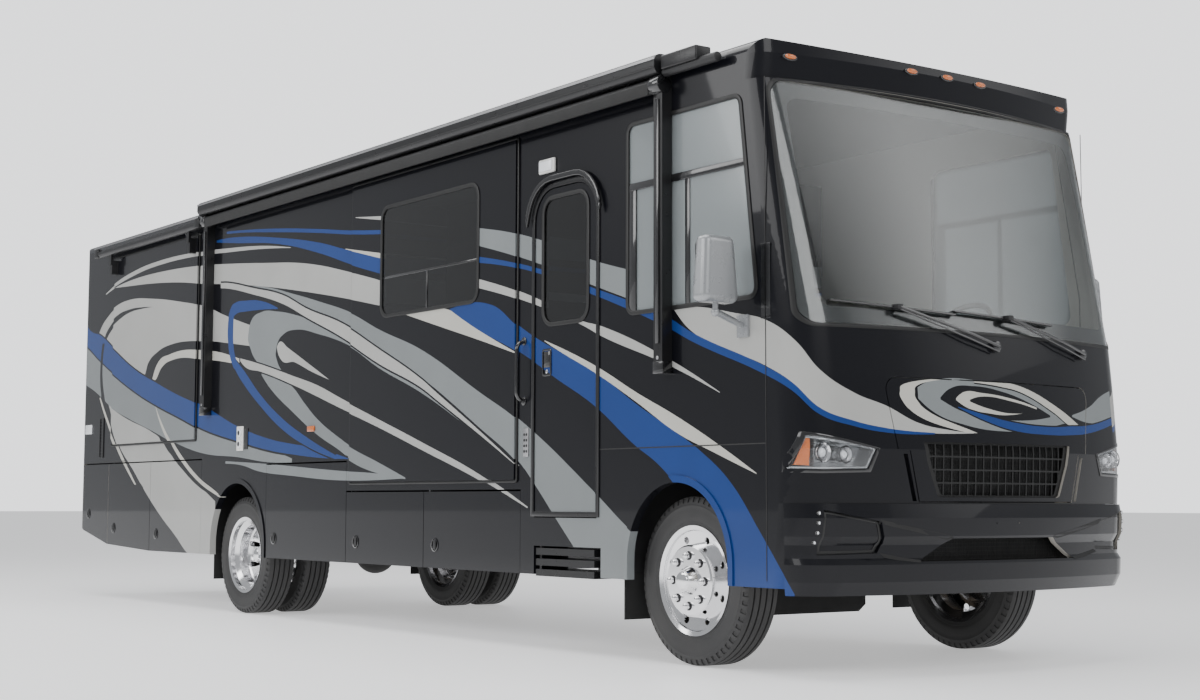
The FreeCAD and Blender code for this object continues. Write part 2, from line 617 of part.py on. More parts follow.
def chassis_frame():
    """Two channel rails, the beams and risers bolted to them, engine mounts, hitch and exhaust."""
    x0, x1 = X_TAIL + 60.0, ahead(1080.0)
    rail = box(x0, x1, RAIL_OUTER - RAIL_W, RAIL_OUTER, RAIL_TOP - RAIL_H, RAIL_TOP)
    hollow = box(x0 - 1, x1 + 1, RAIL_OUTER - RAIL_W - 1, RAIL_OUTER - RAIL_WEB,
                 RAIL_TOP - RAIL_H + RAIL_WEB, RAIL_TOP - RAIL_WEB)
    pieces = both_sides(rail.cut(hollow))
    for station in CROSS_MEMBERS:
        pieces += cross_member(station)
    mount = box(ahead(-110), ahead(10), -RAIL_OUTER + RAIL_WEB + SEAT_GAP, -ENGINE["half"], 690, 770)
    pieces += both_sides(mount)
    return pieces + [hitch(), fuse(exhaust())]


EXHAUST = {"y": -235.0, "z": 620.0, "r": 42.0, "x0": -2400.0, "x1": -6450.0,
           "silencer": (-3500.0, -2500.0, 105.0)}


def exhaust():
    """The silencer and tail pipe, hung from the cross members between the right rail and the shaft."""
    e = EXHAUST
    x0, x1, radius = e["silencer"]
    can = rod((ahead(x0), e["y"], e["z"]), (ahead(x1), e["y"], e["z"]), radius)
    pipe = rod((ahead(e["x1"]), e["y"], e["z"]), (ahead(ENGINE["x0"]) - SEAT_GAP, e["y"], e["z"]), e["r"])
    elbow = Part.makeSphere(e["r"], V(ahead(e["x1"]), e["y"], e["z"]))
    tail = rod((ahead(e["x1"]), e["y"], e["z"]), (ahead(e["x1"]) - 90, e["y"], 430.0), e["r"])
    hangers = []
    for station in CROSS_MEMBERS[4:8]:
        hangers.append(box(ahead(station) - 6, ahead(station) + 6, e["y"] - 20, e["y"] + 20, e["z"],
                           RAIL_TOP - MEMBER_H - SEAT_GAP))
    return [can, pipe, elbow, tail] + hangers


def engine():
    return box(ahead(ENGINE["x0"]), ahead(ENGINE["x1"]), -ENGINE["half"], ENGINE["half"],
               ENGINE["z0"], ENGINE["z1"])


SHAFT_R = 48.0
SPRING = {"half": 680.0, "t": 40.0, "sag": 60.0}


def leaf_spring(x, eye_z):
    """A leaf pack under the right rail: a shallow arc hung from the rail at both ends."""
    half, t, sag = SPRING["half"], SPRING["t"], SPRING["sag"]
    y = -RAIL_OUTER
    low = [V(x - half, y, eye_z), V(x, y, eye_z - sag), V(x + half, y, eye_z)]
    high = [V(x + half, y, eye_z + t), V(x, y, eye_z - sag + t), V(x - half, y, eye_z + t)]
    edges = [Part.Arc(*low).toShape(), Part.LineSegment(low[2], high[0]).toShape(),
             Part.Arc(*high).toShape(), Part.LineSegment(high[2], low[0]).toShape()]
    return Part.Face(Part.Wire(edges)).extrude(V(0, RAIL_W, 0))


SPRING_SEAT = 60.0             # half the length of the pad between an axle and its spring


def rear_spring_seat():
    """The pad that carries the right rear spring on the axle tube."""
    top = RAIL_TOP - RAIL_H - SPRING["t"] - SPRING["sag"]
    return box(X_REAR - SPRING_SEAT, X_REAR + SPRING_SEAT, -RAIL_OUTER, -RAIL_OUTER + RAIL_W, AXLE_Z, top)


def front_axle():
    eye_z = RAIL_TOP - RAIL_H - SPRING["t"]
    x = X_FRONT
    pieces = []
    for spring in both_sides(leaf_spring(x, eye_z)):
        pieces.append(spring)
    beam_z = eye_z - SPRING["sag"]
    beam = box(x - 45, x + 45, -KINGPIN_Y + 150, KINGPIN_Y - 150, beam_z - 100, beam_z)
    eye = rod((x, -KINGPIN_Y, AXLE_Z - 50), (x, -KINGPIN_Y, AXLE_Z + 50), 40)
    arm = box(x - 38, x + 38, -KINGPIN_Y, -KINGPIN_Y + 160, beam_z - 90, AXLE_Z + 50)
    bore = rod((x, -KINGPIN_Y, AXLE_Z - 90), (x, -KINGPIN_Y, AXLE_Z + 90), 25.05)
    return fuse(pieces + [beam] + both_sides(eye) + both_sides(arm)).cut(both_sides(bore))


def knuckle(sign):
    """A steering knuckle: kingpin, the fork round the axle's eye, and the stub axle."""
    x = X_FRONT
    y = sign * KINGPIN_Y
    pin = rod((x, y, AXLE_Z - 95), (x, y, AXLE_Z + 95), 25.0)
    top = box(x - 55, x + 55, y - 50, y + 50, AXLE_Z + 56, AXLE_Z + 90)
    low = box(x - 55, x + 55, y - 50, y + 50, AXLE_Z - 90, AXLE_Z - 56)
    out = sorted((y + sign * 50, y + sign * 76))
    plate = box(x - 70, x + 70, out[0], out[1], AXLE_Z - 90, AXLE_Z + 90)
    stub = rod((x, y + sign * 70, AXLE_Z), (x, y + sign * 200, AXLE_Z), 32.0)
    return fuse([pin, top, low, plate, stub])


def rear_axle():
    x = X_REAR
    eye_z = RAIL_TOP - RAIL_H - SPRING["t"]
    tube = rod((x, -REAR_HUB_IN, AXLE_Z), (x, REAR_HUB_IN, AXLE_Z), 62.0)
    head = Part.makeSphere(175.0, V(x, 0, AXLE_Z)).common(box(x - 150, x + 175, -150, 150, 0, 1000))
    pinion = rod((x + 120, 0, AXLE_Z), (x + 300, 0, AXLE_Z), 60.0)
    springs = both_sides(leaf_spring(x, eye_z)) + both_sides(rear_spring_seat())
    spindle = rod((x, -REAR_HUB_OUT, AXLE_Z), (x, REAR_HUB_OUT, AXLE_Z), 40.0)
    shaft = rod((x + 290, 0, AXLE_Z), (ahead(ENGINE["x0"]) - SEAT_GAP, 0, ENGINE["z0"] + 70), SHAFT_R)
    shaft = shaft.cut(box(ahead(ENGINE["x0"]) - SEAT_GAP, ahead(0), -200, 200, 0, 2000))
    return fuse([tube, head, pinion, spindle, shaft] + springs)


REAR_OUTER_Y = REAR_RIM_FACE - RIM_W / 2 - FLANGE_W       # |Y| of the rear outer wheel's centre
REAR_DISC = REAR_OUTER_Y - DISC_OFFSET                    # |Y| where the twin wheels bolt together
REAR_HUB_IN = REAR_DISC - 200.0
REAR_HUB_OUT = REAR_DISC + 60.0


# ---------------------------------------------------------------- wheels
# Half of the tyre's outline, bead to tread: radius, distance from the tyre's middle plane
TYRE_OUTLINE = [(RIM_R, RIM_W / 2 - 8), (RIM_R + FLANGE + 0.5, RIM_W / 2 - 0.4), (RIM_R + 53, TYRE_W / 2 - 1),
                (RIM_R + 98, TYRE_W / 2), (TYRE_R - 18, TYRE_W / 2 - 12), (TYRE_R, TYRE_W / 2 - 34)]
# Barrel of a wheel: radius, distance from its middle plane towards the outside of the coach
BARREL_OUTER = [(RIM_R + FLANGE, RIM_W / 2), (RIM_R - 0.3, RIM_W / 2 - 7), (RIM_R - 0.3, 66),
                (RIM_R - 40, 42), (RIM_R - 40, -52), (RIM_R - 0.3, -72), (RIM_R - 0.3, -RIM_W / 2 + 7),
                (RIM_R + FLANGE, -RIM_W / 2)]
BARREL_INNER = [(RIM_R + FLANGE, -RIM_W / 2 - FLANGE_W), (RIM_R - 9, -RIM_W / 2), (RIM_R - 9, -76),
                (RIM_R - 50, -56), (RIM_R - 50, 46), (RIM_R - 9, 70), (RIM_R - 9, RIM_W / 2),
                (RIM_R + FLANGE, RIM_W / 2 + FLANGE_W)]
# Discs, as outer face then back face: radius, distance from the wheel's middle plane
FRONT_DISC = [(RIM_R - 6, 104), (RIM_R - 14, 92), (206, 82), (199, 138), (190, 146), (60, 146),
              (60, 136), (187, 136), (194, 72), (RIM_R - 12, 84), (RIM_R - 6, 92)]
DISH_DISC = [(RIM_R - 46, 30), (226, 40), (196, 110), (176, 150), (60, 150),
             (60, 160), (182, 160), (205, 116), (234, 50), (RIM_R - 46, 42)]
HAND_HOLES = 8


def tyre(centre_x, centre_y):
    """One tyre: side walls that bulge past the rim, and square shoulders."""
    outline = TYRE_OUTLINE + [(r, -y) for r, y in reversed(TYRE_OUTLINE)]
    return revolve_y([(r, y + centre_y) for r, y in outline], centre_x, AXLE_Z)


def disc_with_holes(profile, centre_x, centre_y, facing, hole_ring, hole_r):
    """A wheel disc turned from its profile, with a ring of hand holes."""
    plate = revolve_y([(r, centre_y + facing * y) for r, y in profile], centre_x, AXLE_Z)
    holes = []
    for i in range(HAND_HOLES):
        turn = 2 * math.pi * (i + 0.5) / HAND_HOLES
        at = V(centre_x + hole_ring * math.sin(turn), centre_y - 200, AXLE_Z + hole_ring * math.cos(turn))
        holes.append(Part.makeCylinder(hole_r, 400, at, V(0, 1, 0)))
    return plate.cut(holes)


def barrel(centre_x, centre_y, side):
    profile = BARREL_OUTER + BARREL_INNER
    return revolve_y([(r, centre_y + side * y) for r, y in profile], centre_x, AXLE_Z)


def hub(centre_x, inner_y, outer_y, radius, cap_r, cap_long, outward):
    """The hub drum and its domed cap."""
    body = rod((centre_x, inner_y, AXLE_Z), (centre_x, outer_y, AXLE_Z), radius)
    cap = Part.makeCone(cap_r, cap_r * 0.75, cap_long, V(centre_x, outer_y, AXLE_Z), V(0, outward, 0))
    return [body, cap]


def front_wheel(sign):
    centre_y = sign * (FRONT_RIM_FACE - RIM_W / 2 - FLANGE_W)
    disc = disc_with_holes(FRONT_DISC, X_FRONT, centre_y, sign, 240.0, 21.0)
    drum = hub(X_FRONT, sign * (KINGPIN_Y + 92), centre_y + sign * 146, 88.0, 82.0, 45.0, sign)
    bore = rod((X_FRONT, sign * (KINGPIN_Y + 60), AXLE_Z), (X_FRONT, sign * (KINGPIN_Y + 205), AXLE_Z), 32.05)
    wheel = fuse([barrel(X_FRONT, centre_y, sign), disc] + drum).cut(bore)
    return tyre(X_FRONT, centre_y), wheel


def rear_wheels(sign):
    outer_y = sign * REAR_OUTER_Y
    inner_y = outer_y - sign * DUAL_SPACING
    dish = disc_with_holes(DISH_DISC, X_REAR, outer_y, -sign, 215.0, 24.0)
    back = disc_with_holes(DISH_DISC, X_REAR, inner_y, sign, 215.0, 24.0)
    drum = hub(X_REAR, sign * (REAR_HUB_IN + 6), sign * (REAR_DISC + 110), 92.0, 70.0, 50.0, sign)
    bore = rod((X_REAR, sign * (REAR_HUB_IN - 5), AXLE_Z), (X_REAR, sign * (REAR_HUB_OUT + 5), AXLE_Z), 40.05)
    barrels = [barrel(X_REAR, outer_y, sign), barrel(X_REAR, inner_y, -sign)]
    wheel = fuse(barrels + [dish, back] + drum).cut(bore)
    return [tyre(X_REAR, outer_y), tyre(X_REAR, inner_y)], wheel


# ---------------------------------------------------------------- moving panels
def entry_door():
    e, w = ENTRY, ENTRY_WINDOW
    leaf = panel(ahead(e["x0"]), ahead(e["x1"]), e["z0"], e["z1"], -HALF_W, -WALL_IN, e["r"])
    foot = box(ahead(e["x0"]), ahead(e["x1"]), -HALF_W, -WALL_IN, e["z0"], e["z0"] + e["r"])
    hole = panel(ahead(w["x0"]), ahead(w["x1"]), w["z0"], w["z1"], -HALF_W - 1, -WALL_IN + 1, w["r"])
    hinge = rod((ahead(e["x1"]), -HALF_W, e["z0"] + 10), (ahead(e["x1"]), -HALF_W, e["z1"] - e["r"] - 10),
                RUN_CLEAR - SEAT_GAP)
    return fuse([leaf, foot, hinge]).cut(hole)


def entry_door_glass():
    w = ENTRY_WINDOW
    return panel(ahead(w["x0"]), ahead(w["x1"]), w["z0"], w["z1"], -HALF_W + 4, -HALF_W + 4 + GLASS_T, w["r"])


def hood_shell():
    return nose_outer().cut(nose_outer(CAP_T - 5.0))


def hood_panel():
    grille_hole = prism_x(symmetric(GRILLE_OUTLINE), ahead(900), ahead(1400))
    plate = hood_shell().common(hood_prism(PANEL_GAP * 2)).cut(grille_hole)
    lugs = []
    for y in (-360.0, 300.0):
        lugs.append(box(ahead(1184), ahead(1207), y, y + 60, 1550.0, HOOD_OUTLINE[0][1] - SEAT_GAP))
    return plate.fuse(lugs)


def scaled(outline, share):
    """A (y, z) outline drawn in towards its own middle height."""
    middle = (outline[0][1] + outline[-1][1]) / 2
    return [(y * share, middle + (z - middle) * share) for y, z in outline]


def grille():
    """A frame round upright bars and three cross bars, set back in the hood."""
    skin = nose_outer(GRILLE_SET_BACK).cut(nose_outer(GRILLE_SET_BACK + GRILLE_T))
    outside = prism_x(symmetric(GRILLE_OUTLINE), ahead(900), ahead(1400))
    inside = prism_x(symmetric(scaled(GRILLE_OUTLINE, 0.93)), ahead(900), ahead(1400))
    bars = [outside.cut(inside)]
    low, high = GRILLE_OUTLINE[-1][1] + 6, GRILLE_OUTLINE[0][1] - 6
    count = int(2 * GRILLE_OUTLINE[0][0] / GRILLE_PITCH)
    for i in range(count):
        y = (i - (count - 1) / 2) * GRILLE_PITCH
        bars.append(box(ahead(900), ahead(1400), y - GRILLE_BAR / 2, y + GRILLE_BAR / 2, low, high))
    for share in (0.25, 0.5, 0.75):
        z = low + (high - low) * share
        bars.append(box(ahead(900), ahead(1400), -560, 560, z - GRILLE_BAR / 2, z + GRILLE_BAR / 2))
    pattern = fuse(bars).common(outside)
    return skin.common(pattern)


def slide_out(name):
    """A room that slides out sideways: face with a lip, floor, roof and two ends."""
    side, x0, x1, z0, z1, window = SLIDES[name]
    face = HALF_W + SLIDE_PROUD
    lip_in = HALF_W + RUN_CLEAR
    a0, a1, b0, b1 = ahead(x0), ahead(x1), z0, z1
    m = SLIDE_LIP
    lip = panel(a0, a1, b0, b1, -face, -lip_in, 12.0)
    room = box(a0 + m, a1 - m, -face, -face + SLIDE_DEPTH, b0 + m, b1 - m)
    hollow = box(a0 + m + SLIDE_WALL, a1 - m - SLIDE_WALL, -face + SLIDE_WALL, -face + SLIDE_DEPTH + 1,
                 b0 + m + SLIDE_WALL, b1 - m - SLIDE_WALL)
    shape = lip.fuse(room).cut(hollow)
    if window:
        wx0, wx1, wz0, wz1 = window
        near, far = -face - 1, -face + SLIDE_WALL + 1
        shape = shape.cut(panel(ahead(wx0), ahead(wx1), wz0, wz1, near, far, WINDOW_R))
    return shape if side < 0 else mirrored(shape)


def slide_glass(name):
    side, *_, window = SLIDES[name]
    wx0, wx1, wz0, wz1 = window
    face = HALF_W + SLIDE_PROUD
    pane = panel(ahead(wx0), ahead(wx1), wz0, wz1, -face + 3, -face + 3 + GLASS_T, WINDOW_R)
    return pane if side < 0 else mirrored(pane)


TOPPER = {"x0": -8900.0, "x1": -6450.0, "z": 3268.0, "r": 36.0}


def slide_topper():
    """The roller over the bedroom slide-out, on brackets that stand on its face."""
    y = -HALF_W - SLIDE_PROUD - 60.0
    t = TOPPER
    roller = rod((ahead(t["x0"]), y, t["z"]), (ahead(t["x1"]), y, t["z"]), t["r"])
    _, x0, x1, _, top, _ = SLIDES["bedroom_slide"]
    brackets = []
    for x in (x0 + 60, x1 - 60):
        brackets.append(box(ahead(x) - 25, ahead(x) + 25, y, -HALF_W - SLIDE_PROUD, top - 150, top - 20))
        brackets.append(box(ahead(x) - 25, ahead(x) + 25, y - 12, y + 12, top - 60, t["z"]))
    return fuse([roller] + brackets)


# ---------------------------------------------------------------- outside fittings
def side_glass():
    y0, y1 = -HALF_W + 5, -HALF_W + 5 + GLASS_T
    panes = both_sides(cab_window_prism(y0, y1))
    for x0, x1, z0, z1 in LEFT_WINDOWS:
        panes.append(panel(ahead(x0), ahead(x1), z0, z1, -y1, -y0, WINDOW_R))
    return panes


def lamp_prism(sign, shrink=0.0):
    """A lamp's opening seen from the front, pulled through the nose, smaller by shrink."""
    middle_y = sum(y for y, _ in LAMP_OUTLINE) / len(LAMP_OUTLINE)
    middle_z = sum(z for _, z in LAMP_OUTLINE) / len(LAMP_OUTLINE)
    reach = max(y for y, _ in LAMP_OUTLINE) - middle_y
    scale = 1 - shrink / reach
    points = [(sign * (middle_y + (y - middle_y) * scale), middle_z + (z - middle_z) * (1 - shrink / 60))
              for y, z in LAMP_OUTLINE]
    return prism_x(points, ahead(900), ahead(1400))


def headlights():
    """The clear covers, flush with the cap."""
    skin = nose_outer(3.0).cut(nose_outer(3.0 + LENS_T))
    return [skin.common(lamp_prism(sign, SEAT_GAP)) for sign in (-1, 1)]


def headlight_housings():
    """A tray behind each cover, with a bowl for the low beam and one for the high beam."""
    front = 3.0 + LENS_T + SEAT_GAP
    skin = nose_outer(front).cut(nose_outer(LAMP_DEPTH))
    hollow = nose_outer(front - 1).cut(nose_outer(LAMP_DEPTH - 8))
    housings = []
    for sign in (-1, 1):
        tray = skin.common(lamp_prism(sign, SEAT_GAP)).cut(hollow.common(lamp_prism(sign, LAMP_WALL)))
        for y, z, radius in LAMP_BOWLS:
            x = ahead(lamp_floor_x(y))
            bowl = Part.makeCone(radius * 0.45, radius, LAMP_BOWL_DEEP, V(x, sign * y, z), V(1, 0, 0))
            inside = V(x + 7, sign * y, z)
            dish = Part.makeCone(radius * 0.45 - 4, radius - 4, LAMP_BOWL_DEEP - 6, inside, V(1, 0, 0))
            back = rod((x - 30, sign * y, z), (x + 3, sign * y, z), radius * 0.45)
            back = back.cut(nose_outer(0).cut(nose_outer(LAMP_DEPTH)).cut(skin))
            tray = tray.fuse([bowl.cut(dish), back])
        housings.append(tray)
    return housings


def front_bumper():
    """The lower moulding: a beam over a lip, a pocket in each end and a mesh mouth."""
    outer = nose_block(BUMPER_LEVELS)
    first, last = BUMPER_LEVELS[0], BUMPER_LEVELS[-1]
    stretched = [(first[0] - 1, *first[1:])] + BUMPER_LEVELS[1:-1] + [(last[0] + 1, *last[1:])]
    shell = outer.cut(nose_block(stretched, CAP_T))
    shell = shell.common(box(ahead(BUMPER_BACK) + PANEL_GAP, ahead(1400), -HALF_W, HALF_W, 0, 1000))
    recess = outer.cut(nose_block(stretched, POCKET_DEPTH))
    hole = PLATE_HOLES
    cuts = [prism_x(symmetric(BUMPER_MOUTH), ahead(900), ahead(1400))]
    for sign in (-1, 1):
        pocket = prism_x([(sign * y, z) for y, z in BUMPER_POCKET], ahead(900), ahead(1400))
        cuts.append(recess.common(pocket))
        y, z = sign * hole["y"], hole["z"]
        cuts.append(rod((ahead(1100), y, z), (ahead(1400), y, z), hole["r"]))
    return shell.cut(cuts)


MIRROR = {"x": 600.0, "out": 211.0, "z": 2140.0, "h": 360.0, "w": 250.0, "d": 125.0, "taper": 0.82}


def mirrors():
    m = MIRROR
    x, y, z = ahead(m["x"]), -HALF_W - m["out"], m["z"]
    sections = []
    for height, share in ((z - m["h"] / 2, 1.0), (z + m["h"] / 2, m["taper"])):
        d, w = m["d"] / 2 * share, m["w"] / 2 * share
        corners = [(x - d, y - w), (x + d, y - w), (x + d, y + w), (x - d, y + w), (x - d, y - w)]
        sections.append(Part.makePolygon([V(*corner, height) for corner in corners]))
    head = Part.makeLoft(sections, True, True)
    head = head.makeFillet(38.0, head.Edges)
    stem = rod((x, y, z - m["h"] / 2 - 60), (x, y, z), 16.0)
    arm = rod((x - 20, -HALF_W, 1850.0), (x, y, z - m["h"] / 2 - 45), 18.0)
    ball = Part.makeSphere(24.0, V(x, y, z - m["h"] / 2 - 48))
    base = box(x - 60, x + 30, -HALF_W - 14, -HALF_W, 1790.0, 1910.0)
    arm = arm.cut(box(x - 500, x + 500, -HALF_W, 0, 0, 3000))
    return both_sides(fuse([head, stem, ball, arm, base]))


AWNING = {"x0": -6450.0, "x1": -50.0, "z0": 3335.0, "z1": 3455.0, "deep": 120.0}


def patio_awning():
    """The rolled awning: a round-fronted case along the roof edge and two folded arms."""
    a = AWNING
    low = HALF_W
    case = box(ahead(a["x0"]), ahead(a["x1"]), -low - a["deep"], -low, a["z0"], a["z1"])
    edges = [e for e in case.Edges if abs(e.Vertexes[0].Y + low + a["deep"]) < 1
             and abs(e.Vertexes[1].Y + low + a["deep"]) < 1 and e.Length > 1000]
    case = case.makeFillet(48.0, edges)
    pieces = [case]
    for x0, x1, foot in ((-6420.0, -6340.0, 1640.0), (-120.0, -40.0, 1640.0)):
        pieces.append(box(ahead(x0), ahead(x1), -low - 70, -low, foot, a["z0"] + 20))
    return fuse(pieces)


# Roof units: station, length, width, height
ROOF_UNITS = [(-2600.0, 1040.0, 700.0, 330.0), (-7400.0, 1040.0, 700.0, 330.0),
              (-4900.0, 420.0, 420.0, 110.0), (-8700.0, 420.0, 420.0, 110.0)]


def crown_height(y):
    """Roof surface height at this |Y|."""
    half = HALF_W - ROOF_EDGE_R
    radius = (half ** 2 + ROOF_CROWN ** 2) / (2 * ROOF_CROWN)
    return WALL_TOP + ROOF_EDGE_R + ROOF_CROWN - radius + math.sqrt(radius ** 2 - y ** 2)


def roof_units():
    units = []
    block = roof_outline(REAR_SEAM, ahead(CAP_ROOF_SEAM), WALL_TOP)
    for station, long, wide, high in ROOF_UNITS:
        x = ahead(station)
        z = crown_height(wide / 2) - 5
        top = crown_height(0) + high
        lower = Part.makePolygon([V(x - long / 2, -wide / 2, z), V(x + long / 2, -wide / 2, z),
                                  V(x + long / 2, wide / 2, z), V(x - long / 2, wide / 2, z),
                                  V(x - long / 2, -wide / 2, z)])
        taper = 0.86
        upper = Part.makePolygon([V(x - long / 2 * taper, -wide / 2 * taper, top),
                                  V(x + long / 2 * taper * 0.9, -wide / 2 * taper, top),
                                  V(x + long / 2 * taper * 0.9, wide / 2 * taper, top),
                                  V(x - long / 2 * taper, wide / 2 * taper, top),
                                  V(x - long / 2 * taper, -wide / 2 * taper, top)])
        unit = Part.makeLoft([lower, upper], True, True).cut(block)
        unit.translate(V(0, 0, SEAT_GAP))
        units.append(unit)
    return units


def mud_flaps():
    flaps = []
    for name, y0, low in (("front", 940.0, 230.0), ("rear", 660.0, 260.0)):
        station, half, _, _ = HOUSES[name]
        back = ahead(station) - half
        flap = box(back - 10, back, -WALL_IN + 6, -y0, low, 620.0)
        flaps += both_sides(flap)
    return flaps


def entry_steps():
    """The step well inside the door and the slatted step folded below it."""
    s = STEP_WELL
    x0, x1 = ahead(s["x0"]), ahead(s["x1"])
    outer = -WALL_IN + RUN_CLEAR
    well = box(x0, x1, outer, -s["inner"], s["z"], FLOOR_TOP)
    inner = -s["inner"] - s["t"]
    well = well.cut(box(x0 + s["t"], x1 - s["t"], outer - 1, inner, s["z"] + s["t"], FLOOR_TOP + 1))
    slats = [well]
    for z in (455.0, 520.0, 585.0):
        slats.append(box(x0 + 25, x1 - 45, -HALF_W + 8, -HALF_W + 240, z, z + 42))
    slats.append(box(x0 + 25, x0 + 45, outer, -HALF_W + 240, 455, s["z"]))
    slats.append(box(x1 - 65, x1 - 45, outer, -HALF_W + 240, 455, s["z"]))
    return fuse(slats)


# ---------------------------------------------------------------- cab
def dashboard():
    """The dash moulding across the cab and the cover over the engine between the seats."""
    profile = [(ahead(1120), 1730.0), (ahead(640), 1740.0), (ahead(470), 1660.0), (ahead(440), 1520.0),
               (ahead(560), 1360.0), (ahead(600), 1360.0), (ahead(600), 1480.0), (ahead(1120), 1640.0)]
    dash = prism_y(profile, -WALL_IN, WALL_IN).common(nose_block(NOSE_LEVELS, CAP_T + SEAT_GAP))
    firewall = box(ahead(700), ahead(730), -1150, 1150, FLOOR_TOP, 1500.0)
    firewall = firewall.cut(box(ahead(690), ahead(740), -ENGINE["half"] - 20, ENGINE["half"] + 20, 0, 1262))
    half, t = ENGINE["half"] + 60, 12.0
    x0, x1 = ahead(ENGINE["x0"]) - 60, ahead(700)
    cover = box(x0, x1, -half, half, FLOOR_TOP, 1270.0)
    cover = cover.cut(box(x0 + t, x1 + 1, -half + t, half - t, FLOOR_TOP - 1, 1270.0 - t))
    return fuse([dash, firewall, cover, steering_column()])


# Seats: |Y| of the centre, and X of the cushion's back edge
SEAT = {"y": 640.0, "x0": -760.0, "deep": 520.0, "wide": 520.0, "z": 1440.0, "t": 130.0}


def seats():
    s = SEAT
    pads = []
    for sign in (-1, 1):
        y0, y1 = sign * s["y"] - s["wide"] / 2, sign * s["y"] + s["wide"] / 2
        cushion = box(ahead(s["x0"]), ahead(s["x0"] + s["deep"]), y0, y1, s["z"], s["z"] + s["t"])
        back = box(-65, 65, y0, y1, 0, 660).fuse(box(-50, 50, y0 + 110, y1 - 110, 659, 860))
        back.rotate(V(0, 0, 0), V(0, 1, 0), -12)
        back.translate(V(ahead(s["x0"]) - 63.9, 0, s["z"] + 20))
        pads += [cushion, back]
    return pads


def seat_bases():
    s = SEAT
    bases = []
    for sign in (-1, 1):
        y = sign * s["y"]
        x = ahead(s["x0"] + s["deep"] / 2)
        station, half, top, inner = HOUSES["front"]
        foot = box(x - 190, x + 190, y - 170, y + 170, top, top + 30)
        risers = box(x - 190, x + 190, y - 170, y + 170, FLOOR_TOP, top)
        y0, y1 = sorted((sign * inner, sign * HALF_W))
        risers = risers.cut(box(ahead(station) - half, ahead(station) + half, y0, y1, 0, 2000))
        foot = foot.fuse(risers)
        post = rod((x, y, top + 30), (x, y, s["z"] - 40), 90.0)
        plate = box(x - 210, x + 210, y - 190, y + 190, s["z"] - 40, s["z"] - 0.3)
        bases.append(fuse([foot, post, plate]))
    return bases


STEERING = {"x": 330.0, "y": 640.0, "z": 1965.0, "r": 215.0, "tilt": 38.0}


def steering_axis():
    tilt = math.radians(STEERING["tilt"])
    return V(-math.sin(tilt), 0, math.cos(tilt))


def steering_wheel():
    s = STEERING
    centre = V(ahead(s["x"]), s["y"], s["z"])
    axis = steering_axis()
    ring = Part.makeTorus(s["r"], 16.0, centre, axis)
    boss = Part.makeCylinder(60.0, 50.0, centre - axis * 55, axis)
    side = V(0, 1, 0)
    down = axis.cross(side)
    spokes = []
    for direction in (side, side * -1, down):
        start = centre - axis * 25
        end = centre + direction * (s["r"] - 6) - axis * 4
        run = end - start
        spokes.append(Part.makeCylinder(12.0, run.Length, start, run))
    return fuse([ring, boss] + spokes)


def steering_column():
    s = STEERING
    centre = V(ahead(s["x"]), s["y"], s["z"])
    axis = steering_axis()
    start = 55.0 + SEAT_GAP
    return Part.makeCylinder(38.0, 380.0, centre - axis * (start + 380.0), axis)


def fuel_tank():
    return round_edges(box(ahead(-8900), ahead(-7500), -RAIL_OUTER + RAIL_W + 10, RAIL_OUTER - RAIL_W - 10,
                           480, RAIL_TOP - 120), 40, V(1, 0, 0))


def grey_tank():
    return round_edges(box(ahead(-3800), ahead(-2000), 80, RAIL_OUTER - RAIL_W - 10, 520, RAIL_TOP - 120),
                       40, V(1, 0, 0))


# ---------------------------------------------------------------- write every piece
def main():
    export("chassis_frame", *chassis_frame())
    export("engine", engine())
    export("front_axle", front_axle())
    export("rear_axle", rear_axle())
    export("tanks", fuel_tank(), grey_tank())
    export("floor", floor())
    export("baggage_bays", *baggage_bays())
    export("wheel_houses", *wheel_houses())
    export("right_side_wall", right_side_wall())
    export("left_side_wall", left_side_wall())
    export("fenders", *fenders())
    export("roof", roof())
    export("front_cap", front_cap())
    export("rear_cap", rear_cap())
    export("windscreen", windscreen())
    export("side_glass", *side_glass())
    export("headlights", *headlights())
    export("headlight_housings", *headlight_housings())
    export("tail_lights", *tail_lights())
    export("front_bumper", front_bumper())
    export("mirrors", *mirrors())
    export("patio_awning", patio_awning())
    export("roof_units", *roof_units())
    export("mud_flaps", *mud_flaps())
    export("entry_steps", entry_steps())
    export("dashboard", dashboard())
    export("seats", *seats())
    export("seat_bases", *seat_bases())
    export("steering_wheel", steering_wheel())
    export("entry_door", entry_door())
    export("entry_door_glass", entry_door_glass())
    export("hood_panel", hood_panel())
    export("grille", grille())
    export("slide_topper", slide_topper())
    for name in SLIDES:
        export(name, slide_out(name))
        if SLIDES[name][-1]:
            export(name + "_glass", slide_glass(name))
    for name, row in RIGHT_DOORS.items():
        export(name, bay_door(row))
    for name, row in LEFT_DOORS.items():
        export(name, mirrored(bay_door(row)))
    for side, sign in (("left", 1), ("right", -1)):
        export("knuckle_" + side, knuckle(sign))
        rubber, metal = front_wheel(sign)
        export("front_tyre_" + side, rubber)
        export("front_rim_" + side, metal)
        rubber, metal = rear_wheels(sign)
        export("rear_tyres_" + side, *rubber)
        export("rear_rims_" + side, metal)


main()
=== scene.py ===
# %% [markdown]
# # A motorhome, finished in Blender
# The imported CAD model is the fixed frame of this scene: rails, body, doors, slide-out rooms and
# wheels are already there at their real sizes. This lesson gives them their finishes and adds
# the pieces that a coach builder fits last: tyres with tread, window seals, lamps, wipers,
# awning hardware, trim and the padded seats. Everything is in metres, +X is forward, +Y is the
# coach's left and +Z is up.

# %% Load the frame
import json
import math

import bmesh
import bpy
from mathutils import Matrix, Vector


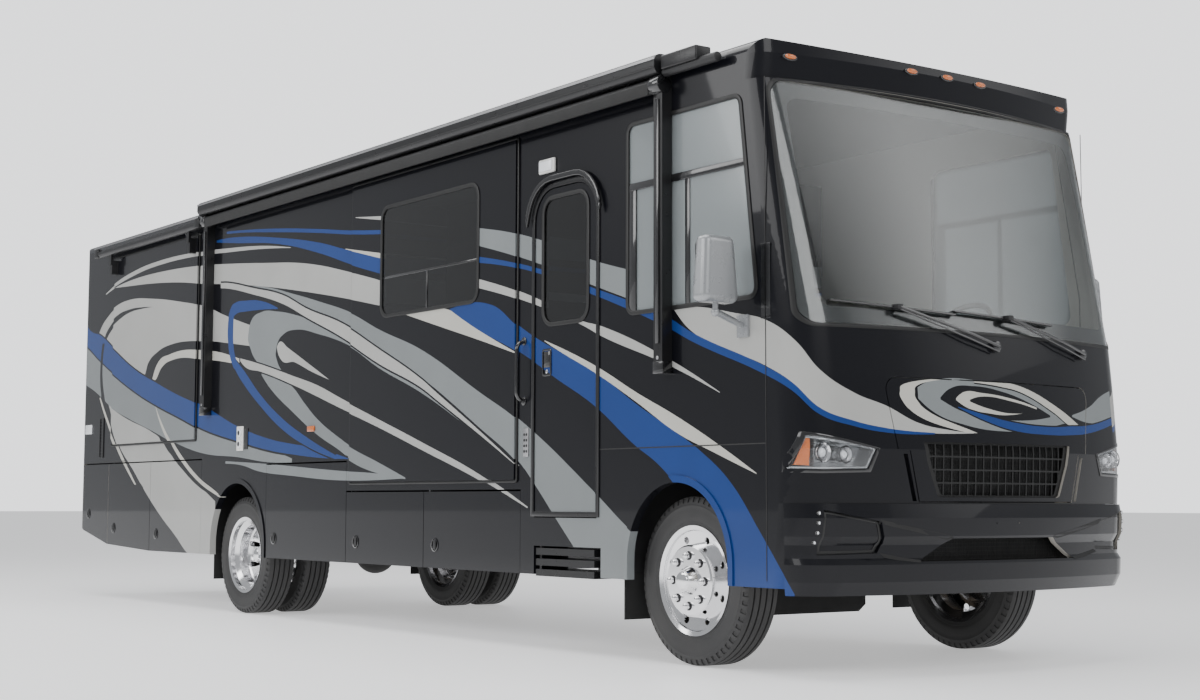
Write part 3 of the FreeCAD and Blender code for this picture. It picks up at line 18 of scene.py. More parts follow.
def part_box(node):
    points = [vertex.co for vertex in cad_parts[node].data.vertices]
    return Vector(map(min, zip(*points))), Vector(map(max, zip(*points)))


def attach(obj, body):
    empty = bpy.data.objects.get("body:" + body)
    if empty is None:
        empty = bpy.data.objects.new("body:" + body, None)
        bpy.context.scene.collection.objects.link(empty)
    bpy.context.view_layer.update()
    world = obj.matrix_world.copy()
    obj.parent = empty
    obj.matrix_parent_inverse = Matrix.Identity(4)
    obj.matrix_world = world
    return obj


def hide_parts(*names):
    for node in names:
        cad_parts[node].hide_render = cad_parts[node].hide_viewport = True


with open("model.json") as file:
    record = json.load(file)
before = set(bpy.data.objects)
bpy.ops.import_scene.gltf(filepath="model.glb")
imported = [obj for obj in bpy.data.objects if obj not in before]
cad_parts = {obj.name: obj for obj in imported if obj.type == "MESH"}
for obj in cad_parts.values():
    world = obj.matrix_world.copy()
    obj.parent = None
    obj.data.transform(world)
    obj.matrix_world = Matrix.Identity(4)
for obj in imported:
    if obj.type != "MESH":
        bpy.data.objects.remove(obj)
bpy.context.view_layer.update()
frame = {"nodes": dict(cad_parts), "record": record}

# %% [markdown]
# Stations on a coach are measured from the front axle. The frame's origin is under the middle
# of the coach, so one constant turns a station into X. A front rim's box gives that constant.

# %% Main places
def middle(node):
    """The middle of a CAD node's box."""
    low, high = (Vector(corner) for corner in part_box(node))
    return (low + high) / 2


AXLE = middle("front_rim_right").x
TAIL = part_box("rear_cap")[0][0]
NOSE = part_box("front_bumper")[1][0]
HALF_W = -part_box("right_side_wall")[0][1]
SIDE = -HALF_W
SIDES = (("right", -1), ("left", 1))
print("front axle at", round(AXLE, 3), "half width", round(HALF_W, 3))


def at(station):
    """X of a station measured ahead of the front axle."""
    return AXLE + station


# %% [markdown]
# ## Camera
# The eye stands low and to the right of the nose, nearly eight metres ahead of the front axle
# and about as far to the side, looking back along the coach and slightly up. A matrix built
# from the view direction places it, because that also carries the small roll.

# %% Camera
EYE = Vector((at(7.9015), -7.5297, 0.9069))
YAW, PITCH, ROLL = 0.6275, 0.0873, 0.0027
look = Vector((-math.cos(YAW) * math.cos(PITCH), math.sin(YAW) * math.cos(PITCH), math.sin(PITCH)))
right = look.cross(Vector((0, 0, 1))).normalized()
up = right.cross(look)
right, up = (right * math.cos(ROLL) + up * math.sin(ROLL), up * math.cos(ROLL) - right * math.sin(ROLL))
turn = Matrix((right, up, -look)).transposed().to_4x4()
camera_data = bpy.data.cameras.new("camera")
camera_data.lens = 53.94
camera_data.sensor_width = 36.0
camera_data.shift_x = -0.0024
camera_data.shift_y = -0.0040
camera_data.clip_end = 200.0
camera = bpy.data.objects.new("camera", camera_data)
camera.matrix_world = Matrix.Translation(EYE) @ turn
bpy.context.collection.objects.link(camera)
bpy.context.scene.camera = camera
print("camera at", tuple(round(v, 2) for v in EYE))

# %% [markdown]
# ## Floor and light
# The coach stands in a large white hall. A pale floor, a pale sky and four soft lamps make it:
# one over the coach, one in front of the nose, one along its side, and a weak one high ahead
# that the windscreen mirrors. The sky has two strengths, bright where it is seen and dim where
# it lights the paint, so that the dark sides keep their depth.

# %% Floor and light
def add_node(tree, kind, inputs=None, **settings):
    """A shader node with its settings, its values and the links into it."""
    node = tree.nodes.new("ShaderNode" + kind)
    for key, value in settings.items():
        setattr(node, key, value)
    for key, value in (inputs or {}).items():
        if isinstance(value, bpy.types.NodeSocket):
            tree.links.new(value, node.inputs[key])
        else:
            node.inputs[key].default_value = value
    return node


def math_of(tree, operation, *values, clamp=False):
    """A Math node's result."""
    node = add_node(tree, "Math", dict(enumerate(values)), operation=operation, use_clamp=clamp)
    return node.outputs[0]


def mix_of(tree, factor, first, second):
    """Two colours mixed by a factor."""
    node = add_node(tree, "Mix", {0: factor, 6: first, 7: second}, data_type="RGBA")
    return node.outputs[2]


def new_material(name, values):
    """A material with its tree and its Principled BSDF, whose own sockets get the values."""
    material = bpy.data.materials.new(name)
    material.use_nodes = True
    shader = material.node_tree.nodes["Principled BSDF"]
    for label, value in values.items():
        shader.inputs[label].default_value = value
    return material, material.node_tree, shader


FLOOR_SIZE = 300.0
bpy.ops.object.select_all(action="DESELECT")
bpy.ops.mesh.primitive_plane_add(size=FLOOR_SIZE, location=(0, 0, -0.001))
studio_floor = bpy.context.object
studio_floor.name = "studio_floor"
floor_paint = new_material("pale_floor", {
    "Base Color": (0.92, 0.92, 0.93, 1), "Emission Color": (1, 1, 1, 1),
    "Emission Strength": 0.5, "Roughness": 0.45})[0]
studio_floor.data.materials.append(floor_paint)

sky = bpy.data.worlds.new("pale_hall")
sky.use_nodes = True
sky_tree = sky.node_tree
dim = sky_tree.nodes["Background"]
dim.inputs[0].default_value = (0.86, 0.88, 0.91, 1)
dim.inputs[1].default_value = 0.5
bright = add_node(sky_tree, "Background", {0: (0.97, 0.98, 1.0, 1), 1: 1.9})
seen = add_node(sky_tree, "LightPath").outputs["Is Camera Ray"]
both = add_node(sky_tree, "MixShader", {0: seen})
sky_tree.links.new(dim.outputs[0], both.inputs[1])
sky_tree.links.new(bright.outputs[0], both.inputs[2])
sky_tree.links.new(both.outputs[0], sky_tree.nodes["World Output"].inputs["Surface"])
bpy.context.scene.world = sky


def soft_lamp(name, place, aim, size, watts, spread=180):
    """A rectangular lamp turned to its aim; spread is its beam in degrees."""
    data = bpy.data.lights.new(name, "AREA")
    data.spread = math.radians(spread)
    data.shape = "RECTANGLE"
    data.size, data.size_y = size
    data.energy = watts
    lamp = bpy.data.objects.new(name, data)
    lamp.location = place
    lamp.rotation_euler = (Vector(aim) - Vector(place)).to_track_quat("-Z", "Y").to_euler()
    bpy.context.collection.objects.link(lamp)


soft_lamp("roof_light", (0, -2.0, 9.5), (0, 0, 0), (14.0, 7.0), 900)
soft_lamp("nose_light", (13.0, -3.5, 6.5), (4.5, 0, 1.5), (6.0, 4.0), 300)
soft_lamp("side_light", (-1.0, -12.0, 7.0), (0, 0, 1.6), (14.0, 4.0), 700)
soft_lamp("screen_light", (9.04, 4.18, 6.11), (5.07, -0.35, 2.55), (7.0, 7.0), 26, spread=50)

# %% [markdown]
# ## Shared effects
# Two effects are used by most finishes, so each is a node group. Soft mottle is a slow cloudy
# variation, as polish, dust and handling leave on paint, rubber and plastic. Fine grain is a
# small-scale height, as moulded plastic, powder coat and rubber have.

# %% Effect groups
def new_group(name, outputs, inputs=()):
    """A shader group with named sockets; returns it with its input and output nodes."""
    group = bpy.data.node_groups.new(name, "ShaderNodeTree")
    for label, kind, value in inputs:
        socket = group.interface.new_socket(label, in_out="INPUT", socket_type=kind)
        socket.default_value = value
    for label, kind in outputs:
        group.interface.new_socket(label, in_out="OUTPUT", socket_type=kind)
    return group, group.nodes.new("NodeGroupInput"), group.nodes.new("NodeGroupOutput")


NUMBER, COLOUR = "NodeSocketFloat", "NodeSocketColor"


def noise_group(name, detail, stretch):
    """Noise in the piece's own space, returned between a low and a high value."""
    inputs = [("Scale", NUMBER, 4.0), ("Low", NUMBER, 0.0), ("High", NUMBER, 1.0)]
    group, given, result = new_group(name, [("Value", NUMBER)], inputs)
    place = add_node(group, "TexCoord").outputs["Object"]
    noise = add_node(group, "TexNoise", {"Vector": place, "Scale": given.outputs["Scale"],
                                         "Detail": detail, "Roughness": 0.6})
    spread = add_node(group, "MapRange", {"Value": noise.outputs["Fac"], "From Min": 0.5 - stretch,
                                          "From Max": 0.5 + stretch, "To Min": given.outputs["Low"],
                                          "To Max": given.outputs["High"]})
    group.links.new(spread.outputs["Result"], result.inputs["Value"])
    return group


MOTTLE = noise_group("soft_mottle", 4.0, 0.25)
GRAIN = noise_group("fine_grain", 2.0, 0.3)


def use_group(tree, group, **values):
    """A group in a tree with its values; returns its first output."""
    node = tree.nodes.new("ShaderNodeGroup")
    node.node_tree = group
    for key, value in values.items():
        socket = node.inputs[key.replace("_", " ").title()]
        if isinstance(value, bpy.types.NodeSocket):
            tree.links.new(value, socket)
        else:
            socket.default_value = value
    return node.outputs[0]


def own_place(tree):
    """A point's place in its own piece."""
    return add_node(tree, "TexCoord").outputs["Object"]


def paint_with(tree, shader, colour, share):
    """Base colour made darker or lighter by a share."""
    tint = add_node(tree, "VectorMath", {0: colour, "Scale": share}, operation="SCALE").outputs[0]
    tree.links.new(tint, shader.inputs["Base Color"])


def add_bump(tree, shader, height, strength, distance):
    """Gives the shader a height."""
    bump = add_node(tree, "Bump", {"Height": height, "Strength": strength, "Distance": distance})
    tree.links.new(bump.outputs["Normal"], shader.inputs["Normal"])


print("effects", MOTTLE.name, GRAIN.name)

# %% [markdown]
# ## The livery
# Long brush strokes of silver, grey and blue run over dark charcoal paint, across walls, doors
# and slide-outs alike. On the real coach they are masked and sprayed over the whole body at
# once. Here one node group does the same: each stroke has an upper and a lower edge, drawn as
# curves over the station, and paint goes wherever a point of the body lies between the two.
# Because it reads the piece's own coordinates, a stroke stays whole across every seam and still
# travels with a door that opens. The distance round the nose and tail is added to the station,
# so strokes turn the corner as masking tape does.

# %% Stroke tools
CHARCOAL = (0.0042, 0.0044, 0.0066, 1)
SILVER = (0.40, 0.40, 0.385, 1)
CREAM = (0.50, 0.49, 0.445, 1)
GREY = (0.205, 0.222, 0.226, 1)
BLUE = (0.010, 0.042, 0.185, 1)


def drawn_edge(tree, share, points, along, across):
    """One edge of a stroke: a smooth curve through its points, scaled to nought to one."""
    node = tree.nodes.new("ShaderNodeFloatCurve")
    placed = [((a - along[0]) / (along[1] - along[0]), (b - across[0]) / (across[1] - across[0]))
              for a, b in points]
    curve = node.mapping.curves[0]
    curve.points[0].location = placed[0]
    curve.points[1].location = placed[-1]
    for place in placed[1:-1]:
        curve.points.new(*place)
    node.mapping.update()
    tree.links.new(share, node.inputs["Value"])
    return node.outputs[0]


def stroke_mask(tree, run, level, upper, lower, across, pin=0.0):
    """One where the point lies between the two edges, and a wider mask for a dark pin line."""
    along = (min(upper[0][0], lower[0][0]), max(upper[-1][0], lower[-1][0]))
    share = add_node(tree, "MapRange", {"Value": run, "From Min": along[0], "From Max": along[1]})
    share = share.outputs["Result"]
    top = drawn_edge(tree, share, upper, along, across)
    bottom = drawn_edge(tree, share, lower, along, across)
    inside = math_of(tree, "MULTIPLY", math_of(tree, "GREATER_THAN", share, 0.0),
                     math_of(tree, "LESS_THAN", share, 1.0))
    masks = []
    for wider in (0.0, pin) if pin else (0.0,):
        grow = wider / (across[1] - across[0])
        high = math_of(tree, "ADD", top, grow) if grow else top
        low = math_of(tree, "SUBTRACT", bottom, grow) if grow else bottom
        band = math_of(tree, "MULTIPLY", math_of(tree, "GREATER_THAN", high, level),
                       math_of(tree, "GREATER_THAN", level, low))
        masks.append(math_of(tree, "MULTIPLY", band, inside))
    return masks


def paint_strokes(tree, colour, strokes, run, level, across):
    """Lays strokes over a colour in order; each is (paint, pin, upper edge, lower edge)."""
    for paint, pin, upper, lower in strokes:
        masks = stroke_mask(tree, run, level, upper, lower, across, pin)
        if pin:
            colour = mix_of(tree, masks[1], colour, CHARCOAL)
        colour = mix_of(tree, masks[0], colour, paint)
    return colour


# %% [markdown]
# The strokes' edges are lists of (station ahead of the front axle, height) in metres. They are
# laid in this order, so a later stroke covers an earlier one. A few shapes that stand nearly
# upright, such as the side of a loop, are drawn the other way round, as (height, station).

# %% Strokes of the tail
TAIL_STROKES = [
    (GREY, 0.012, [(-10.72, 2.62), (-9.45, 2.46), (-9.0, 2.28), (-8.01, 1.92), (-7.03, 1.66), (-6.45, 1.52),
      (-5.8, 1.41), (-5.19, 1.32), (-4.8, 1.24)],
     [(-10.72, 2.2), (-9.46, 2.06), (-9.2, 2.0), (-8.94, 1.91), (-8.69, 1.81), (-8.2, 1.68), (-7.59, 1.54),
      (-7.0, 1.4), (-6.45, 1.31), (-5.8, 1.27), (-5.24, 1.22), (-4.8, 1.21)]),
    (SILVER, 0.0, [(-8.72, 1.82), (-8.2, 1.67), (-7.59, 1.53), (-7.36, 1.45), (-7.17, 1.31), (-6.94, 1.19),
      (-6.5, 1.02), (-6.2, 0.9)],
     [(-8.72, 1.82), (-8.69, 1.78), (-8.5, 1.5), (-8.01, 1.16), (-7.8, 1.02), (-7.41, 0.79), (-7.03, 0.6),
      (-6.79, 0.47), (-6.2, 0.3)]),
    (CHARCOAL, 0.0, [(-7.42, 1.49), (-7.17, 1.37), (-6.94, 1.24), (-6.59, 1.07), (-6.3, 0.97)],
     [(-7.42, 1.48), (-7.3, 1.38), (-7.17, 1.31), (-6.94, 1.19), (-6.59, 1.04), (-6.3, 0.96)]),
    (CREAM, 0.0, [(-7.52, 1.77), (-7.41, 1.65), (-7.17, 1.45), (-6.94, 1.3), (-6.59, 1.12), (-6.24, 1.0),
      (-6.1, 0.95)],
     [(-7.52, 1.76), (-7.41, 1.61), (-7.17, 1.4), (-6.94, 1.25), (-6.59, 1.08), (-6.24, 0.97),
      (-6.1, 0.94)]),
    (SILVER, 0.0, [(-9.03, 2.52), (-8.94, 2.6), (-8.8, 2.67), (-8.59, 2.74), (-8.2, 2.78), (-7.64, 2.74),
      (-7.03, 2.66), (-6.45, 2.56), (-6.13, 2.47), (-5.6, 2.34)],
     [(-9.03, 2.5), (-8.59, 2.34), (-8.01, 2.11), (-7.8, 2.05), (-7.71, 2.16), (-7.52, 2.24), (-7.22, 2.29),
      (-6.45, 2.27), (-6.0, 2.22), (-5.6, 2.17)]),
    (CREAM, 0.0, [(-7.61, 2.0), (-7.5, 2.135), (-7.22, 2.205), (-6.45, 2.19), (-5.8, 2.08)],
     [(-7.61, 1.99), (-7.52, 2.0), (-7.41, 2.09), (-7.17, 2.15), (-6.45, 2.11), (-5.8, 2.03)]),
    (CHARCOAL, 0.0, [(-8.92, 2.4), (-8.88, 2.47), (-8.73, 2.58), (-8.5, 2.66), (-8.2, 2.69), (-7.9, 2.685),
      (-7.64, 2.665)],
     [(-8.92, 2.38), (-8.83, 2.45), (-8.68, 2.54), (-8.45, 2.615), (-8.2, 2.66), (-7.9, 2.67),
      (-7.64, 2.665)]),
    (SILVER, 0.0, [(-8.87, 2.9), (-8.59, 2.97), (-8.2, 3.03), (-7.64, 3.07), (-6.45, 3.05), (-6.13, 3.03),
      (-5.4, 2.97), (-4.89, 2.9)],
     [(-8.87, 2.89), (-8.59, 2.94), (-8.2, 2.99), (-7.64, 3.03), (-6.45, 3.015), (-6.13, 2.995),
      (-5.4, 2.945), (-4.89, 2.895)]),
]

# %% Strokes of the middle
MIDDLE_STROKES = [
    (BLUE, 0.0, [(-6.1, 3.17), (-5.9, 3.155), (-5.1, 3.075), (-4.4, 2.985), (-3.84, 2.905), (-3.36, 2.85)],
     [(-6.1, 3.15), (-5.9, 3.135), (-5.1, 3.045), (-4.4, 2.955), (-3.84, 2.875), (-3.36, 2.82)]),
    (BLUE, 0.0, [(-6.3, 3.12), (-5.9, 3.1), (-5.1, 3.0), (-4.4, 2.88), (-3.84, 2.75), (-3.36, 2.66)],
     [(-6.3, 3.1), (-5.9, 3.05), (-5.1, 2.95), (-4.4, 2.8), (-3.84, 2.647), (-3.36, 2.53)]),
    (SILVER, 0.0, [(-3.78, 2.995), (-3.36, 2.95)],
     [(-3.78, 2.99), (-3.36, 2.92)]),
    (CREAM, 0.0, [(-3.97, 2.785), (-3.36, 2.68)],
     [(-3.97, 2.78), (-3.36, 2.64)]),
    (SILVER, 0.0, [(-8.6, 2.93), (-8.2, 2.96), (-7.64, 2.97), (-6.45, 2.925), (-6.14, 2.9), (-5.4, 2.83),
      (-4.6, 2.74), (-3.84, 2.59), (-3.36, 2.48)],
     [(-8.6, 2.93), (-8.41, 2.92), (-7.64, 2.88), (-7.03, 2.83), (-6.45, 2.76), (-6.14, 2.73), (-5.4, 2.64),
      (-4.6, 2.52), (-3.84, 2.39), (-3.36, 2.3)]),
    (GREY, 0.0, [(-5.6, 2.66), (-5.4, 2.64), (-4.8, 2.52), (-4.4, 2.43), (-3.84, 2.29), (-3.4, 2.135),
      (-2.8, 1.95), (-2.04, 1.62), (-1.6, 1.43), (-0.77, 0.96), (-0.5, 0.79), (-0.3, 0.68)],
     [(-5.6, 2.655), (-5.0, 2.54), (-4.59, 2.4), (-4.0, 2.24), (-3.4, 2.0), (-2.8, 1.76), (-2.04, 1.39),
      (-1.6, 1.16), (-1.4, 1.0), (-1.2, 0.82), (-0.95, 0.6), (-0.75, 0.42), (-0.3, 0.3)]),
    (GREY, 0.0, [(-5.64, 2.25), (-5.59, 2.37), (-5.4, 2.43), (-5.1, 2.41), (-4.8, 2.36), (-4.59, 2.31),
      (-4.0, 2.11), (-3.4, 1.88), (-2.8, 1.68), (-2.3, 1.46)],
     [(-5.64, 2.22), (-5.6, 2.16), (-5.49, 2.05), (-5.3, 1.99), (-5.0, 1.9), (-4.0, 1.6), (-3.4, 1.45),
      (-2.8, 1.3), (-2.3, 1.2)]),
    (CHARCOAL, 0.0, [(-5.12, 2.08), (-5.09, 2.16), (-5.0, 2.216), (-4.77, 2.24), (-4.4, 2.18),
      (-3.84, 2.04), (-3.4, 1.86), (-2.8, 1.655), (-2.28, 1.44)],
     [(-5.12, 2.06), (-5.03, 1.95), (-4.8, 1.88), (-4.0, 1.6), (-3.4, 1.4), (-2.8, 1.25), (-2.28, 1.1)]),
    (SILVER, 0.0, [(-5.1, 2.13), (-5.05, 2.165), (-4.91, 2.11), (-4.54, 1.96), (-4.2, 1.82)],
     [(-5.1, 2.12), (-5.06, 2.053), (-4.77, 1.984), (-4.5, 1.9), (-4.2, 1.82)]),
    (SILVER, 0.014, [(-6.2, 2.745), (-6.03, 2.728), (-5.59, 2.647), (-5.0, 2.53), (-4.59, 2.39),
      (-4.0, 2.228), (-3.4, 1.995), (-2.8, 1.75), (-2.6, 1.65), (-2.04, 1.37), (-1.6, 1.14)],
     [(-6.2, 2.7), (-6.03, 2.68), (-5.59, 2.595), (-5.0, 2.46), (-4.59, 2.32), (-4.0, 2.123), (-3.4, 1.89),
      (-2.8, 1.69), (-2.6, 1.6), (-2.04, 1.345), (-1.6, 1.135)]),
    (GREY, 0.012, [(-5.37, 1.94), (-5.1, 1.88), (-4.82, 1.8), (-4.6, 1.66), (-4.4, 1.54), (-4.0, 1.37),
      (-3.8, 1.3), (-3.4, 1.19), (-3.0, 1.075)],
     [(-5.37, 1.92), (-5.2, 1.8), (-4.8, 1.6), (-4.4, 1.42), (-4.0, 1.28), (-3.8, 1.2), (-3.4, 1.11),
      (-3.0, 1.065)]),
    (SILVER, 0.012, [(-5.78, 2.08), (-5.4, 2.01), (-4.8, 1.88), (-4.4, 1.79), (-4.0, 1.67), (-3.4, 1.495),
      (-2.8, 1.32), (-2.04, 1.088), (-1.5, 0.88)],
     [(-5.78, 2.06), (-5.66, 1.995), (-5.4, 1.95), (-4.8, 1.81), (-4.0, 1.595), (-3.4, 1.437),
      (-2.8, 1.267), (-2.04, 1.05), (-1.5, 0.87)]),
    (GREY, 0.0, [(-6.03, 1.24), (-5.24, 1.205), (-4.0, 1.135), (-3.38, 1.107), (-3.0, 1.075)],
     [(-6.03, 1.22), (-5.7, 1.2), (-5.4, 1.15), (-4.8, 1.107), (-4.0, 1.065), (-3.0, 1.07)]),
    (BLUE, 0.016, [(-10.72, 3.0), (-9.45, 2.66), (-9.2, 2.55), (-9.0, 2.51), (-8.59, 2.34), (-8.01, 2.11),
      (-7.52, 1.97), (-7.03, 1.84), (-6.45, 1.705), (-5.8, 1.52), (-5.19, 1.4), (-4.77, 1.35),
      (-4.45, 1.32), (-3.88, 1.225)],
     [(-10.72, 2.7), (-9.43, 2.45), (-9.0, 2.27), (-8.59, 2.11), (-8.01, 1.91), (-7.52, 1.77),
      (-7.03, 1.65), (-6.45, 1.51), (-5.8, 1.4), (-5.19, 1.31), (-4.77, 1.27), (-4.3, 1.235),
      (-3.88, 1.22)]),
    (BLUE, 0.0, [(-6.03, 2.45), (-5.98, 2.52), (-5.9, 2.55), (-5.7, 2.55), (-5.4, 2.52), (-5.1, 2.44)],
     [(-6.03, 2.42), (-5.93, 2.44), (-5.85, 2.46), (-5.7, 2.46), (-5.4, 2.45), (-5.1, 2.43)]),
    (BLUE, 0.012, [(-5.95, 2.12), (-5.85, 2.06), (-5.73, 1.99), (-5.4, 1.77), (-5.0, 1.565), (-4.59, 1.41),
      (-4.07, 1.25)],
     [(-5.95, 2.06), (-5.85, 1.97), (-5.73, 1.88), (-5.4, 1.68), (-5.0, 1.48), (-4.59, 1.34),
      (-4.07, 1.22)]),
]

# %% Strokes of the front, and the upright ones
FRONT_STROKES = [
    (GREY, 0.0, [(-2.1, 2.71), (-1.48, 2.577), (-0.84, 2.367), (-0.46, 2.265)],
     [(-2.1, 2.595), (-1.48, 2.426), (-0.84, 2.216), (-0.46, 2.095)]),
    (SILVER, 0.0, [(-2.1, 2.375), (-1.48, 2.205), (-0.92, 2.0), (-0.71, 1.95), (-0.07, 1.716),
      (0.38, 1.507)],
     [(-2.1, 2.315), (-1.48, 2.158), (-0.92, 1.975), (-0.71, 1.89), (-0.07, 1.68), (0.38, 1.503)]),
    (CREAM, 0.0, [(-3.06, 2.225), (-2.48, 2.205), (-2.04, 2.02), (-1.63, 1.86)],
     [(-3.06, 2.22), (-2.5, 2.077), (-2.04, 1.96), (-1.63, 1.85)]),
    (BLUE, 0.0, [(-2.43, 2.2), (-1.9, 2.18), (-1.6, 2.02), (-1.4, 1.926), (-0.77, 1.68), (-0.37, 1.472),
      (0.0, 1.298), (0.23, 1.18), (0.465, 1.02), (0.7, 0.763), (0.97, 0.44)],
     [(-2.43, 2.195), (-2.04, 2.02), (-1.6, 1.856), (-1.2, 1.67), (-0.77, 1.472), (-0.41, 1.25),
      (-0.13, 1.1), (0.05, 0.95), (0.3, 0.6), (0.47, 0.4), (0.97, 0.38)]),
    (CREAM, 0.0, [(-1.32, 1.91), (-0.77, 1.716), (-0.37, 1.54), (0.0, 1.39), (0.33, 1.24), (0.68, 1.065)],
     [(-1.32, 1.905), (-1.2, 1.85), (-0.77, 1.672), (-0.37, 1.484), (0.0, 1.298), (0.33, 1.18),
      (0.68, 1.06)]),
    (SILVER, 0.0, [(-0.02, 2.0), (0.14, 1.995), (0.5, 1.93), (0.77, 1.867), (1.0, 1.74), (1.16, 1.6),
      (1.41, 1.48), (1.65, 1.414), (1.87, 1.333), (2.1, 1.298), (2.3, 1.286)],
     [(-0.02, 1.99), (0.14, 1.856), (0.77, 1.623), (0.965, 1.53), (1.16, 1.4), (1.41, 1.333), (1.65, 1.298),
      (1.87, 1.28), (2.3, 1.283)]),
    (BLUE, 0.0, [(-2.1, 2.52), (-1.48, 2.39), (-0.84, 2.2), (-0.48, 2.09), (-0.07, 1.95), (0.14, 1.85),
      (0.77, 1.62), (0.965, 1.53), (1.16, 1.4), (1.41, 1.333), (1.65, 1.298), (2.0, 1.28)],
     [(-2.1, 2.48), (-1.48, 2.36), (-0.84, 2.16), (-0.48, 2.04), (-0.07, 1.89), (0.14, 1.8), (0.77, 1.575),
      (0.965, 1.487), (1.16, 1.365), (1.41, 1.305), (1.65, 1.275), (2.0, 1.272)]),
]
UPRIGHT_STROKES = [
    (CHARCOAL, 0.0, [(1.03, -7.8), (1.23, -8.15), (1.44, -8.46), (1.67, -8.69), (1.93, -8.85),
      (2.16, -8.91), (2.42, -8.87)],
     [(1.03, -7.88), (1.23, -8.25), (1.44, -8.54), (1.67, -8.78), (1.93, -8.93), (2.16, -8.97),
      (2.42, -8.93)]),
    (CREAM, 0.0, [(1.06, -7.98), (1.31, -8.31), (1.51, -8.55), (1.74, -8.79), (1.9, -8.94)],
     [(1.06, -8.02), (1.31, -8.38), (1.51, -8.61), (1.74, -8.84), (1.9, -8.97)]),
    (BLUE, 0.0, [(2.0, -5.78), (2.1, -5.88), (2.2, -5.92), (2.35, -5.93), (2.5, -5.92)],
     [(2.0, -5.9), (2.1, -5.98), (2.2, -6.02), (2.35, -6.04), (2.5, -6.0)]),
]
# The swirl on the hood: (left of the middle line, height), seen from the front.
HOOD_STROKES = [
    (CHARCOAL, 0.0, [(-0.15, 1.58), (1.1, 1.58)],
     [(-0.15, 1.25), (1.1, 1.25)]),
    (GREY, 0.0, [(-0.6, 1.52), (-0.5, 1.56), (-0.1, 1.565), (0.1, 1.54), (0.3, 1.49), (0.5, 1.41),
      (0.56, 1.37)],
     [(-0.6, 1.46), (-0.5, 1.39), (-0.3, 1.33), (0.0, 1.3), (0.3, 1.32), (0.56, 1.36)]),
    (CHARCOAL, 0.0, [(-0.45, 1.47), (-0.38, 1.52), (-0.2, 1.54), (0.0, 1.52), (0.2, 1.475), (0.42, 1.4)],
     [(-0.45, 1.46), (-0.3, 1.4), (-0.1, 1.37), (0.2, 1.365), (0.42, 1.39)]),
    (CREAM, 0.0, [(-0.34, 1.47), (-0.28, 1.505), (-0.15, 1.505), (0.1, 1.48), (0.3, 1.44)],
     [(-0.34, 1.46), (-0.26, 1.42), (-0.1, 1.395), (0.05, 1.39), (0.3, 1.43)]),
    (CHARCOAL, 0.0, [(-0.24, 1.465), (-0.15, 1.485), (0.1, 1.465), (0.3, 1.43)],
     [(-0.24, 1.455), (-0.1, 1.42), (0.1, 1.4), (0.3, 1.425)]),
    (CREAM, 0.008, [(-0.2, 1.565), (0.0, 1.57), (0.17, 1.553), (0.49, 1.45), (0.71, 1.35)],
     [(-0.2, 1.56), (0.0, 1.545), (0.17, 1.52), (0.45, 1.42), (0.62, 1.345), (0.71, 1.34)]),
    (GREY, 0.0, [(0.64, 1.41), (0.85, 1.47), (0.95, 1.52), (1.1, 1.57)],
     [(0.64, 1.4), (0.85, 1.37), (1.0, 1.39), (1.1, 1.4)]),
    (BLUE, 0.008, [(-0.33, 1.425), (-0.1, 1.38), (0.1, 1.35), (0.4, 1.335), (0.62, 1.345), (0.8, 1.355),
      (1.1, 1.41)],
     [(-0.33, 1.42), (-0.1, 1.345), (0.1, 1.305), (0.4, 1.29), (0.62, 1.295), (0.8, 1.31), (1.1, 1.37)]),
]
HOOD_UPRIGHT = [
    (CREAM, 0.0, [(1.285, -0.2), (1.3, -0.25), (1.33, -0.36), (1.36, -0.46), (1.4, -0.55), (1.44, -0.6),
      (1.49, -0.62), (1.54, -0.575), (1.567, -0.43)],
     [(1.285, -0.27), (1.3, -0.36), (1.33, -0.5), (1.36, -0.59), (1.4, -0.66), (1.44, -0.7),
      (1.495, -0.716), (1.54, -0.67), (1.567, -0.5)]),
]
print("strokes", len(TAIL_STROKES) + len(MIDDLE_STROKES) + len(FRONT_STROKES) + len(HOOD_STROKES))

# %% [markdown]
# The group first finds the station along the skin and the height, then lays the strokes. The
# last step keeps the paint on outward faces: the inside of a wall gets its pale lining instead.

# %% The livery group
HEIGHTS = (0.0, 4.0)
STATIONS = (-11.0, 3.0)
CAP_CORNER = 0.5
TAIL_CORNER = -9.0
LINING = (0.42, 0.40, 0.36, 1)


HOOD_START = 0.95
HOOD_SPAN = (-2.0, 2.0)
BODY_CORE = (TAIL + 1.5, at(0.1), 3.0)


def facing_out(group):
    """One where a face looks away from the body's core line, nought on inner faces."""
    coordinates = add_node(group, "TexCoord")
    x, _, z = add_node(group, "SeparateXYZ", {0: coordinates.outputs["Object"]}).outputs
    low, high, top = BODY_CORE
    clamped = add_node(group, "Clamp", {"Value": x, "Min": low, "Max": high}).outputs[0]
    core = add_node(group, "CombineXYZ", {0: clamped, 2: math_of(group, "MINIMUM", z, top)})
    away = add_node(group, "VectorMath", {0: coordinates.outputs["Object"], 1: core.outputs[0]},
                    operation="SUBTRACT")
    facing = add_node(group, "VectorMath", {0: coordinates.outputs["Normal"], 1: away.outputs[0]},
                      operation="DOT_PRODUCT").outputs["Value"]
    return math_of(group, "GREATER_THAN", facing, -0.02)


